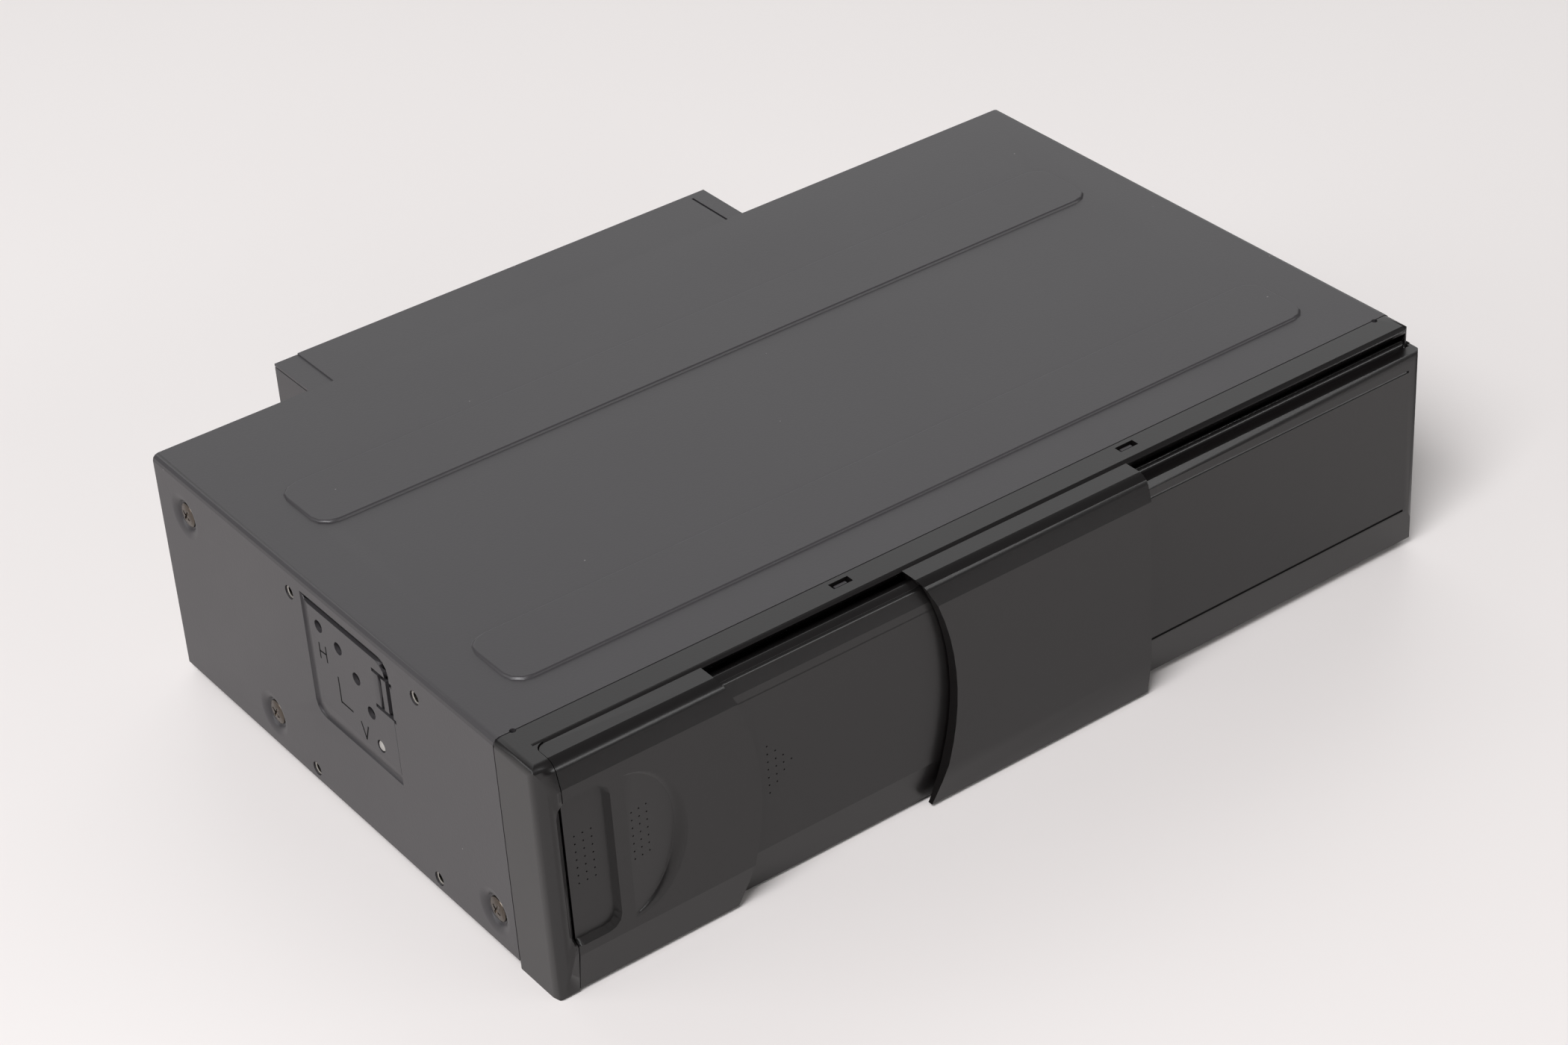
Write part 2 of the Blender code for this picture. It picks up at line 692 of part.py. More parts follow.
def mount_hole_places():
    ys = (MOUNT_HOLE_FRONT_Y, MOUNT_HOLE_FRONT_Y + MOUNT_HOLE_SPACING_Y)
    zs = (MOUNT_HOLE_LOW_Z, MOUNT_HOLE_LOW_Z + MOUNT_HOLE_SPACING_Z)
    return [(y, z) for y in ys for z in zs]


def cover_ribs(inset, low, high):
    ribs = []
    for front in (FRONT_RIB_Y, REAR_RIB_Y):
        outline = rounded(
            RIB_INSET + inset,
            WIDTH - RIB_INSET - inset,
            front + inset,
            front + RIB_WIDTH - inset,
            RIB_CORNER - inset,
        )
        ribs.append(prism(outline, "Z", low, high))
    return joined(ribs)


def cover_tongues():
    """Tongues under the hood strip, each with a tooth that stands up in its notch."""
    root = COVER_FRONT + SHEET
    tip = WEB_BACK + GAP
    upper = STRIP_UNDER - GAP
    outline = (
        (root, TOP - SHEET / 2),
        (root, upper - TONGUE_SHEET),
        (tip, upper - TONGUE_SHEET),
        (tip, upper + TOOTH_RISE),
        (tip + TONGUE_SHEET, upper + TOOTH_RISE),
        (tip + TONGUE_SHEET, upper),
        (COVER_FRONT, upper),
        (COVER_FRONT, TOP - SHEET / 2),
    )
    tongues = []
    for left in NOTCH_PLACES:
        middle = left + NOTCH_WIDTH / 2
        tongues.append(prism(outline, "X", middle - TONGUE_WIDTH / 2, middle + TONGUE_WIDTH / 2))
    return joined(tongues)


def dial_points():
    """The centres of the index holes, from the lowest one up the arc."""
    angles = [math.radians(DIAL_FIRST_ANGLE + DIAL_ANGLE_STEP * step) for step in range(DIAL_HOLES)]
    return [
        (DIAL_PIVOT_Y - DIAL_RADIUS * math.cos(angle), DIAL_PIVOT_Z + DIAL_RADIUS * math.sin(angle))
        for angle in angles
    ]


def dial_window():
    """The opening that the pressed panel fills, but for the slit along its front and top edges."""
    outline = filleted(
        [
            (DIAL_FRONT, DIAL_LOW),
            (DIAL_BACK, DIAL_LOW, DIAL_CORNER),
            (DIAL_BACK, DIAL_HIGH),
            (DIAL_FRONT, DIAL_HIGH, DIAL_CORNER),
        ]
    )
    return prism(outline, "X", -OVERRUN, SHEET + OVERRUN)


def dial_ring(spread, slope, margin):
    """The panel's outline, spread beyond its sloped back and lower edges and widened at its free edges."""
    back = DIAL_BACK + spread - slope
    low = DIAL_LOW - spread + slope
    front = DIAL_FRONT + DIAL_THIN_SLIT - margin
    notch = DIAL_FRONT + DIAL_SLIT - margin
    top = DIAL_HIGH - DIAL_SLIT + margin
    step = BRACKET_LOW + BRACKET_ARM / 2
    return filleted(
        [
            (front, low),
            (back, low, DIAL_CORNER),
            (back, top),
            (notch, top, DIAL_CORNER),
            (notch, step),
            (front, step),
        ]
    )


def dial_block():
    """The pressed panel as a block, its back and lower sides sloped like its pocket's."""
    outer = dial_ring(SHEET, 0, 0)
    inner = dial_ring(SHEET, DIAL_SLOPE, 0)
    stations = ((outer, SHEET / 2), (inner, DIAL_INSIDE))
    return loft([[place("X", u, v, w) for u, v in ring] for ring, w in stations])


def dial_pocket():
    """The pocket that the panel's outer face leaves in the block."""
    margin = DIAL_THIN_SLIT / 2
    outer = dial_ring(0, 0, margin)
    inner = dial_ring(0, DIAL_SLOPE, margin)
    stations = ((outer, -OVERRUN), (outer, 0), (inner, DIAL_DEPTH))
    return loft([[place("X", u, v, w) for u, v in ring] for ring, w in stations])


def dial_cuts():
    """The index holes and the bracket-shaped slot: an upright bar between two arms."""
    cuts = [
        rod("X", y, z, DIAL_HOLE_RADIUS, -OVERRUN, DIAL_INSIDE + OVERRUN, SMALL_SIDES) for y, z in dial_points()
    ]
    front = DIAL_FRONT + DIAL_SLIT
    bar = front + BRACKET_TAB
    outline = (
        (front - OVERRUN, BRACKET_LOW),
        (front + BRACKET_REACH, BRACKET_LOW),
        (front + BRACKET_REACH, BRACKET_LOW + BRACKET_ARM),
        (bar + BRACKET_BAR_WIDTH, BRACKET_LOW + BRACKET_ARM),
        (bar + BRACKET_BAR_WIDTH, BRACKET_HIGH - BRACKET_ARM),
        (front + BRACKET_REACH, BRACKET_HIGH - BRACKET_ARM),
        (front + BRACKET_REACH, BRACKET_HIGH),
        (front - OVERRUN, BRACKET_HIGH),
        (front - OVERRUN, BRACKET_HIGH - BRACKET_ARM),
        (bar, BRACKET_HIGH - BRACKET_ARM),
        (bar, BRACKET_LOW + BRACKET_ARM),
        (front - OVERRUN, BRACKET_LOW + BRACKET_ARM),
    )
    cuts.append(prism(outline, "X", -OVERRUN, DIAL_INSIDE + OVERRUN))
    return joined(cuts)


def dial_inside():
    """The selector's stud, and the strap behind the bracket's bar that holds the tab before it."""
    start = DIAL_INSIDE - SHEET / 2
    stud = rod("X", DIAL_PIVOT_Y, DIAL_PIVOT_Z, STUD_RADIUS, start, DIAL_INSIDE + STUD_LENGTH)
    front = DIAL_FRONT + DIAL_SLIT + BRACKET_TAB / 4
    back = DIAL_FRONT + DIAL_SLIT + BRACKET_REACH
    middle = (BRACKET_LOW + BRACKET_HIGH) / 2
    low = middle - BRACKET_BRIDGE / 2
    strap = box(start, DIAL_INSIDE + SHEET / 2, front, back, low, low + BRACKET_BRIDGE)
    return joined([stud, strap])


def top_cover():
    path = filleted(
        [
            (0, COVER_FOOT),
            (0, TOP, COVER_FOLD),
            (WIDTH, TOP, COVER_FOLD),
            (WIDTH, COVER_FOOT),
        ]
    )
    sheet = prism(thick(path, SHEET), "Y", COVER_FRONT, BODY_DEPTH)
    holes = [rod("X", y, z, MOUNT_HOLE_RADIUS, -OVERRUN, WIDTH + OVERRUN) for y, z in mount_hole_places()]
    rim = DIMPLE_RADIUS + SHEET
    floor = SHEET + DIMPLE_DEPTH
    piece(
        "top_cover",
        sheet,
        SATIN_PAINT,
        [
            ("UNION", cover_ribs(0, TOP - SHEET / 2, TOP + RIB_RISE)),
            ("DIFFERENCE", cover_ribs(SHEET, TOP - SHEET - OVERRUN, TOP + RIB_RISE - SHEET)),
            ("DIFFERENCE", both_sides(dial_window)),
            ("UNION", both_sides(dial_block)),
            ("DIFFERENCE", both_sides(dial_pocket)),
            ("DIFFERENCE", both_sides(dial_cuts)),
            ("UNION", both_sides(dial_inside)),
            ("UNION", both_sides(lambda: side_rods(SCREW_PLACES, rim, SHEET / 2, floor))),
            ("DIFFERENCE", both_sides(lambda: side_rods(SCREW_PLACES, DIMPLE_RADIUS, -OVERRUN, DIMPLE_DEPTH))),
            ("DIFFERENCE", side_rods(SCREW_PLACES, SCREW_RADIUS + GAP, -OVERRUN, WIDTH + OVERRUN, SMALL_SIDES)),
            ("DIFFERENCE", joined(holes)),
            ("UNION", cover_tongues()),
        ],
    )


def side_screws():
    """Low round heads that sit in the cover's dimples, with shanks through the pan's side walls."""
    head = DIMPLE_DEPTH - GAP - SCREW_HEAD
    rim = SCREW_HEAD_RADIUS * 0.8
    for number, (y, z) in enumerate(SCREW_PLACES, 1):
        for side in ("left", "right"):
            profile = (
                (rim, head),
                (SCREW_HEAD_RADIUS, head + SCREW_HEAD / 3),
                (SCREW_HEAD_RADIUS, head + SCREW_HEAD),
                (SCREW_RADIUS, head + SCREW_HEAD),
                (SCREW_RADIUS, head + SCREW_HEAD + SCREW_LENGTH),
            )
            shape = turned("X", y, z, profile)
            if side == "right":
                shape = across(shape)
            piece(f"side_screw_{side}_{number}", shape, DARK_STEEL)


def bezel_hull():
    """The side section of the whole bezel, which only the left end cap fills."""
    return filleted(
        [
            (STRIP_BACK, 0),
            (STRIP_BACK, TOP),
            (CAP_BROW_Y, TOP, LEAF_BROW_CORNER),
            (0, LEAF_CREASE_Z),
            (0, CAP_FOLD_Z),
            (CAP_LEAN, 0, CAP_FOOT_CORNER),
        ]
    )


def bezel_front_pocket():
    """Everything before the hood strip, the channel with its guide, and the leaning frame."""
    return filleted(
        [
            (-OVERRUN, TOP + OVERRUN),
            (HOOD_FRONT + HOOD_CORNER, TOP + OVERRUN),
            (HOOD_FRONT + HOOD_CORNER, TOP),
            (HOOD_FRONT, TOP - HOOD_CORNER),
            (HOOD_FRONT, STRIP_UNDER),
            (WEB_FRONT, STRIP_UNDER),
            (WEB_FRONT, LEDGE_TOP),
            (GUIDE_FRONT + GUIDE_SHEET, LEDGE_TOP),
            (GUIDE_FRONT + GUIDE_SHEET, LEDGE_TOP + GUIDE_RISE),
            (GUIDE_FRONT, LEDGE_TOP + GUIDE_RISE),
            (GUIDE_FRONT, LEDGE_TOP),
            (FRAME_FACE, LEDGE_TOP),
            (FRAME_FACE, PANEL_FOLD_Z),
            (FRAME_FACE + FRAME_LEAN * (PANEL_FOLD_Z + OVERRUN), -OVERRUN),
            (-OVERRUN, -OVERRUN),
        ]
    )


def bezel_rear_pocket():
    """Everything behind the web, the ledge and the frame, down to the sill."""
    sill_top = SILL_UNDER + SILL_SHEET
    return (
        (WEB_BACK, STRIP_UNDER),
        (STRIP_BACK + OVERRUN, STRIP_UNDER),
        (STRIP_BACK + OVERRUN, sill_top),
        (FRAME_BACK + FRAME_LEAN * (PANEL_FOLD_Z - sill_top), sill_top),
        (FRAME_BACK, PANEL_FOLD_Z),
        (FRAME_BACK, LEDGE_UNDER),
        (WEB_BACK, LEDGE_UNDER),
    )


def cap_corner():
    """The waste outside the round front corner of the left end cap."""
    far = CAP_WIDTH + OVERRUN
    plan = filleted([(0, 0, CAP_CORNER), (far, 0), (far, -OVERRUN), (-OVERRUN, -OVERRUN), (-OVERRUN, far), (0, far)])
    return prism(plan, "Z", -OVERRUN, TOP + OVERRUN)


def hood_edge():
    """The waste outside the round edge that runs back along the top of each end of the bezel."""
    near = CAP_WIDTH
    outline = filleted(
        [
            (0, TOP, CAP_EDGE),
            (0, TOP - near),
            (-OVERRUN, TOP - near),
            (-OVERRUN, TOP + OVERRUN),
            (near, TOP + OVERRUN),
            (near, TOP),
        ]
    )
    return prism(outline, "Y", -OVERRUN, STRIP_BACK + OVERRUN)


def hood_end():
    """The waste outside the round front corner of the hood strip's right end."""
    near = WIDTH - CAP_WIDTH
    outline = filleted(
        [
            (WIDTH, HOOD_FRONT, HOOD_END_CORNER),
            (near, HOOD_FRONT),
            (near, -OVERRUN),
            (WIDTH + OVERRUN, -OVERRUN),
            (WIDTH + OVERRUN, HOOD_FRONT + CAP_WIDTH),
            (WIDTH, HOOD_FRONT + CAP_WIDTH),
        ]
    )
    return prism(outline, "Z", PANEL_TOP, TOP + OVERRUN)


def bezel_notches():
    notches = []
    for left in NOTCH_PLACES:
        back = NOTCH_FRONT + NOTCH_DEPTH
        notches.append(box(left, left + NOTCH_WIDTH, NOTCH_FRONT, back, STRIP_UNDER - GAP, TOP + OVERRUN))
    return joined(notches)


def bezel_openings():
    """The magazine slot and the hole of the eject button."""
    margin = CASE_SLOT_MARGIN
    slot = rounded(
        CASE_LEFT - margin, CASE_RIGHT + margin, CASE_UNDER - margin, CASE_TOP + margin, CASE_SLOT_CORNER
    )
    hole = rounded(
        BUTTON_LEFT - RUN_GAP,
        BUTTON_RIGHT + RUN_GAP,
        BUTTON_LOW - RUN_GAP,
        BUTTON_HIGH + RUN_GAP,
        BUTTON_CORNER,
    )
    return joined([prism(outline, "Y", FRAME_FACE - OVERRUN, WEB_BACK) for outline in (slot, hole)])


def front_bezel():
    right = WIDTH - PANEL_SHEET - GAP
    under = box(CAP_WIDTH, WIDTH + OVERRUN, -OVERRUN, STRIP_BACK + OVERRUN, -OVERRUN, SILL_UNDER)
    corner = box(right - GAP, WIDTH + OVERRUN, -OVERRUN, HOOD_FRONT, -OVERRUN, TOP + OVERRUN)
    piece(
        "front_bezel",
        prism(bezel_hull(), "X", 0, WIDTH),
        BLACK_PLASTIC,
        [
            ("DIFFERENCE", prism(bezel_front_pocket(), "X", CAP_WIDTH, right)),
            ("DIFFERENCE", prism(bezel_rear_pocket(), "X", FRAME_SHEET, WIDTH - CHEEK)),
            ("DIFFERENCE", under),
            ("DIFFERENCE", corner),
            ("DIFFERENCE", cap_corner()),
            ("DIFFERENCE", both_sides(hood_edge)),
            ("DIFFERENCE", hood_end()),
            ("DIFFERENCE", bezel_openings()),
            ("DIFFERENCE", bezel_notches()),
            ("DIFFERENCE", recess_cutter()),
        ],
    )


def outer_leaf_path():
    """The outer face of the grip and centre leaves, from the hook at the back of the flange to the foot."""
    return filleted(
        [
            (LEAF_FLANGE_BACK, LEAF_HOOK_Z),
            (LEAF_FLANGE_BACK, LEAF_RAIL_TOP),
            (LEAF_STEP_Y, LEAF_RAIL_TOP),
            (LEAF_STEP_Y, LEAF_TOP),
            (LEAF_BROW_Y, LEAF_TOP, LEAF_BROW_CORNER),
            (LEAF_FACE, LEAF_CREASE_Z),
            (LEAF_FACE, LEAF_FOLD_Z),
            (LEAF_FACE + LEAF_LEAN, LEAF_FOOT_Z),
        ]
    )


def edge_curve(apex, steps=14):
    """The bowed edge that the grip leaf's right end and the centre leaf's left end share, as (x, z)."""
    low = -OVERRUN
    high = TOP + OVERRUN
    points = []
    for step in range(steps + 1):
        z = low + (high - low) * step / steps
        x = apex - EDGE_RADIUS + math.sqrt(EDGE_RADIUS**2 - (z - EDGE_APEX_Z) ** 2)
        points.append((x, z))
    return points


def beyond_edge(apex, far):
    """Everything from the bowed edge to x = far, through the whole depth of the leaf."""
    curve = edge_curve(apex)
    outline = curve + [(far, curve[-1][1]), (far, curve[0][1])]
    return prism(outline, "Y", -OVERRUN, LEAF_FLANGE_BACK + OVERRUN)


def leaf_block(start, end):
    """The leaf's side section, filled behind its outer face."""
    outline = outer_leaf_path()[1:] + [(LEAF_FLANGE_BACK, LEAF_FOOT_Z)]
    return prism(outline, "X", start, end)


def leaf_hollow(name, start, end, beyond):
    """What the leaf's sheet encloses, left standing beyond its bowed end wall."""
    path = outer_leaf_path()
    inner = thick(path, -LEAF_SHEET)[len(path) :]
    foot = inner[0][0]
    far = LEAF_FLANGE_BACK + OVERRUN
    outline = inner[::-1] + [(foot, -OVERRUN), (far, -OVERRUN), (far, LEAF_HOOK_Z)]
    hollow = helper(f"{name}_hollow", prism(outline, "X", start, end))
    shape_with(hollow, "DIFFERENCE", helper(f"{name}_end", beyond))
    return hollow


def wall_trim(start, end):
    """What the bowed end wall leaves free behind it, for the layer behind and for the guide."""
    far = LEAF_FLANGE_BACK + OVERRUN
    under = LEAF_TOP - LEAF_SHEET - GAP
    step = LEAF_STEP_INSIDE - GAP
    rail = LEAF_RAIL_UNDER - GAP
    hook = LEAF_FLANGE_BACK - LEAF_SHEET - GAP
    outline = (
        (LEAF_BACK_LIMIT, -OVERRUN),
        (LEAF_BACK_LIMIT, under),
        (step, under),
        (step, rail),
        (hook, rail),
        (hook, LEAF_HOOK_Z + GAP),
        (far, LEAF_HOOK_Z + GAP),
        (far, -OVERRUN),
    )
    return prism(outline, "X", start, end)


def recess_outline(inset):
    return rounded(
        RECESS_LEFT + inset,
        RECESS_RIGHT - inset,
        RECESS_LOW + inset,
        RECESS_HIGH - inset,
        RECESS_CORNER - inset,
    )


def slope_cutter(rim, floor):
    """A cutter whose walls slope from the rim on the leaf's face to the floor, and as far out before it."""
    mouth = [(2 * u - v, 2 * w - z) for (u, w), (v, z) in zip(rim, floor)]
    stations = ((mouth, 2 * LEAF_FACE - RECESS_FLOOR_Y), (floor, RECESS_FLOOR_Y))
    return loft([[place("Y", u, v, w) for u, v in outline] for outline, w in stations])


def recess_cutter():
    return slope_cutter(recess_outline(0), recess_outline(RECESS_SLOPE))


def scoop_outline(bulge, inset):
    """A half moon: a straight left edge and a bowed right edge that reaches x = bulge."""
    middle = (SCOOP_LOW + SCOOP_HIGH) / 2
    half = (SCOOP_HIGH - SCOOP_LOW) / 2 - inset
    left = SCOOP_LEFT + inset / 2
    corner = SCOOP_BOW / 12
    points = []
    steps = 14
    for step in range(steps + 1):
        turn = math.pi * (step / steps - 0.5)
        points.append((left + corner + (bulge - left - corner) * math.cos(turn), middle + half * math.sin(turn)))
    points.append((left, middle + half - corner))
    points.append((left, middle - half + corner))
    return points


def scoop_cutter():
    return slope_cutter(scoop_outline(SCOOP_RIGHT, 0), scoop_outline(SCOOP_RIGHT - SCOOP_SLOPE, RECESS_SLOPE))


def grip_leaf():
    left = CAP_WIDTH + GAP
    right = GRIP_APEX_X + OVERRUN
    far = GRIP_APEX_X + EDGE_RADIUS
    pad = box(
        PAD_LEFT,
        PAD_RIGHT,
        LEAF_FACE + LEAF_SHEET / 2,
        LEAF_BACK_LIMIT,
        RECESS_LOW - PAD_MARGIN,
        RECESS_HIGH + PAD_MARGIN,
    )
    inner_end = beyond_edge(GRIP_APEX_X - LEAF_SHEET, far)
    piece(
        "grip_leaf",
        leaf_block(left, right),
        BLACK_PLASTIC,
        [
            ("DIFFERENCE", beyond_edge(GRIP_APEX_X, far)),
            ("DIFFERENCE", leaf_hollow("grip_leaf", left - OVERRUN, right + OVERRUN, inner_end)),
            ("DIFFERENCE", wall_trim(PAD_RIGHT + OVERRUN, right + OVERRUN)),
            ("UNION", pad),
            ("DIFFERENCE", recess_cutter()),
            ("DIFFERENCE", scoop_cutter()),
        ],
        origin=(left, LEAF_FACE, LEAF_TOP),
    )


def centre_leaf():
    left = CENTRE_APEX_X - EDGE_RADIUS / 5
    far = left - 3 * OVERRUN
    inner_end = beyond_edge(CENTRE_APEX_X + LEAF_SHEET, far)
    piece(
        "centre_leaf",
        leaf_block(left, CENTRE_RIGHT),
        BLACK_PLASTIC,
        [
            ("DIFFERENCE", beyond_edge(CENTRE_APEX_X, far)),
            ("DIFFERENCE", leaf_hollow("centre_leaf", left - OVERRUN, CENTRE_RIGHT + OVERRUN, inner_end)),
            ("DIFFERENCE", wall_trim(left - OVERRUN, CENTRE_APEX_X + 2 * OVERRUN)),
        ],
        origin=(CENTRE_RIGHT, LEAF_FACE, LEAF_TOP),
    )


def middle_leaf():
    path = filleted(
        [
            (MIDDLE_FLANGE_BACK, MIDDLE_HOOK_Z),
            (MIDDLE_FLANGE_BACK, MIDDLE_RAIL_TOP),
            (MIDDLE_STEP_Y, MIDDLE_RAIL_TOP),
            (MIDDLE_STEP_Y, MIDDLE_TOP),
            (MIDDLE_BROW_Y, MIDDLE_TOP, MIDDLE_BROW_CORNER),
            (MIDDLE_FACE, MIDDLE_CREASE_Z),
            (MIDDLE_FACE, LEAF_FOLD_Z),
            (MIDDLE_FACE + LEAF_LEAN, LEAF_FOOT_Z),
        ]
    )
    piece(
        "middle_leaf",
        prism(thick(path, -MIDDLE_SHEET), "X", MIDDLE_LEFT, MIDDLE_LEFT + MIDDLE_WIDTH),
        BLACK_PLASTIC,
        origin=(MIDDLE_LEFT, MIDDLE_FACE, MIDDLE_TOP),
    )


def right_front_panel():
    """The fixed panel, rounded at the right corner and turned back there to meet the bezel's cheek."""
    back = HOOD_FRONT - GAP
    front = [
        (PANEL_BROW_Y, PANEL_TOP),
        (PANEL_FACE, PANEL_CREASE_Z),
        (PANEL_FACE, PANEL_FOLD_Z),
        (PANEL_FACE + PANEL_LEAN, PANEL_FOOT_Z),
    ]
    block = [(back, PANEL_TOP), *front, (back, PANEL_FOOT_Z)]
    plan = filleted(
        [
            (PANEL_LEFT - OVERRUN, PANEL_FACE),
            (WIDTH, PANEL_FACE, PANEL_CORNER),
            (WIDTH, back + OVERRUN),
            (PANEL_LEFT - OVERRUN, back + OVERRUN),
        ]
    )
    inner_y = PANEL_FACE + PANEL_SHEET
    inner = (
        (back + OVERRUN, PANEL_TOP + OVERRUN),
        (PANEL_FLANGE_BACK, PANEL_TOP + OVERRUN),
        (PANEL_FLANGE_BACK, PANEL_TOP - PANEL_SHEET),
        (inner_y, PANEL_TOP - PANEL_SHEET),
        (inner_y, PANEL_FOLD_Z),
        (inner_y + PANEL_LEAN, PANEL_FOOT_Z),
        (inner_y + PANEL_LEAN, PANEL_FOOT_Z - OVERRUN),
        (back + OVERRUN, PANEL_FOOT_Z - OVERRUN),
    )
    lines = []
    for z in PANEL_LINE_PLACES:
        low = z - PANEL_LINE_WIDTH / 2
        deep = PANEL_FACE + PANEL_LINE_DEPTH
        lines.append(
            box(
                PANEL_LEFT + OVERRUN,
                WIDTH - PANEL_LINE_END,
                PANEL_FACE - OVERRUN,
                deep,
                low,
                low + PANEL_LINE_WIDTH,
            )
        )
    piece(
        "right_front_panel",
        prism(block, "X", PANEL_LEFT, WIDTH),
        BLACK_PLASTIC,
        [
            ("INTERSECT", prism(plan, "Z", -OVERRUN, TOP)),
            ("DIFFERENCE", prism(inner, "X", PANEL_LEFT - OVERRUN, WIDTH - PANEL_SHEET)),
            ("DIFFERENCE", joined(lines)),
        ],
    )


def angle_selector(side):
    """The arm that turns on the panel's stud, its tip behind one index hole."""
    start = SELECTOR_X
    end = SELECTOR_X + SELECTOR_SHEET
    tip = dial_points()[0]
    tail_share = SELECTOR_TAIL / DIAL_RADIUS
    tail = (
        DIAL_PIVOT_Y - (tip[0] - DIAL_PIVOT_Y) * tail_share,
        DIAL_PIVOT_Z - (tip[1] - DIAL_PIVOT_Z) * tail_share,
    )
    shape = prism(stadium(tail, tip, SELECTOR_TIP * 0.7), "X", start, end)
    middle = (start + end) / 2
    boss = rod("X", DIAL_PIVOT_Y, DIAL_PIVOT_Z, SELECTOR_BOSS, middle, end + SELECTOR_SHEET)
    head = rod("X", *tip, SELECTOR_TIP, middle, end + SELECTOR_SHEET / 2)
    bore = rod("X", DIAL_PIVOT_Y, DIAL_PIVOT_Z, STUD_RADIUS + GAP, start - OVERRUN, end + 2 * OVERRUN)
    shapes = [shape, boss, head, bore]
    if side == "right":
        shapes = [across(each) for each in shapes]
    shape, boss, head, bore = shapes
    x = start if side == "left" else WIDTH - start
    piece(
        f"angle_selector_{side}",
        shape,
        BRIGHT_STEEL,
        [("UNION", boss), ("UNION", head), ("DIFFERENCE", bore)],
        origin=(x, DIAL_PIVOT_Y, DIAL_PIVOT_Z),
    )


def base_pan():
    """Floor sheet with turned-up walls, a full rear wall with two ears, and pressed feet."""
    floor_top = PAN_UNDER + SHEET
    left = SHEET + GAP
    path = (
        (PAN_FRONT, PAN_UNDER + PAN_FRONT_HEIGHT),
        (PAN_FRONT, PAN_UNDER),
        (BODY_DEPTH, PAN_UNDER),
        (BODY_DEPTH, TOP - SHEET - GAP),
    )

    def strip():
        return box(-OVERRUN, PAN_LEFT, -OVERRUN, BODY_DEPTH - SHEET - GAP, -OVERRUN, TOP)

    def flange():
        front = PAN_FRONT + SHEET / 2
        back = BODY_DEPTH - SHEET / 2
        return box(PAN_LEFT - GAP / 4, PAN_LEFT + SHEET, front, back, floor_top - SHEET / 2, PAN_UNDER + PAN_SIDE_HEIGHT)

    def ear():
        back = BODY_DEPTH - SHEET / 2
        return box(PAN_LEFT, PAN_LEFT + SHEET, PAN_EAR_FRONT, back, PAN_EAR_LOW, FRAME_REAR_TOP)

    def holes():
        inside = PAN_LEFT + SHEET + OVERRUN
        mounts = [place for place in mount_hole_places() if place[1] < PAN_SIDE_HEIGHT]
        screw_holes = side_rods(SCREW_PLACES, SCREW_RADIUS + GAP, -OVERRUN, inside, SMALL_SIDES)
        return joined([screw_holes, side_rods(mounts, MOUNT_HOLE_RADIUS, -OVERRUN, inside, SMALL_SIDES)])

    feet = []
    posts = []
    for x in (FOOT_INSET_X, WIDTH - FOOT_INSET_X):
        for y in (FOOT_FRONT_Y, FOOT_BACK_Y):
            feet.append(turned("Z", x, y, ((FOOT_FACE_RADIUS, 0), (FOOT_RADIUS, PAN_UNDER + SHEET / 2))))
    for x in (BOARD_LEFT + BOARD_POST_INSET, BOARD_RIGHT - BOARD_POST_INSET):
        for y in (BOARD_FRONT + BOARD_POST_INSET, BOARD_BACK - BOARD_POST_INSET):
            posts.append(rod("Z", x, y, BOARD_POST_RADIUS, floor_top - SHEET / 2, floor_top + BOARD_POST))
    wire_hole = rounded(WIRE_HOLE_LEFT, WIRE_HOLE_RIGHT, WIRE_HOLE_LOW, WIRE_HOLE_HIGH, FOOT_RADIUS / 2)
    piece(
        "base_pan",
        prism(thick(path, -SHEET), "X", left, WIDTH - left),
        ZINC_SHEET,
        [
            ("DIFFERENCE", both_sides(strip)),
            ("UNION", both_sides(flange)),
            ("UNION", both_sides(ear)),
            ("UNION", joined(feet)),
            ("UNION", joined(posts)),
            ("DIFFERENCE", both_sides(holes)),
            ("DIFFERENCE", prism(wire_hole, "Y", BODY_DEPTH - SHEET - OVERRUN, BODY_DEPTH + OVERRUN)),
        ],
    )


def main_board():
    under = PAN_UNDER + SHEET + BOARD_POST + GAP
    top = under + BOARD_SHEET
    outline = rounded(BOARD_LEFT, BOARD_RIGHT, BOARD_FRONT, BOARD_BACK, BOARD_POST_RADIUS)
    chip_shares = ((0.15, 0.30, 0.20, 0.45), (0.40, 0.52, 0.30, 0.55), (0.62, 0.80, 0.15, 0.35), (0.62, 0.70, 0.55, 0.80))
    chips = []
    length = BOARD_RIGHT - BOARD_LEFT
    width = BOARD_BACK - BOARD_FRONT
    for left, right, front, back in chip_shares:
        chips.append(
            box(
                BOARD_LEFT + left * length,
                BOARD_LEFT + right * length,
                BOARD_FRONT + front * width,
                BOARD_FRONT + back * width,
                top - BOARD_SHEET / 2,
                top + CHIP_HEIGHT,
            )
        )
    piece("main_board", prism(outline, "Z", under, top), BOARD_GREEN, [("UNION", joined(chips))])


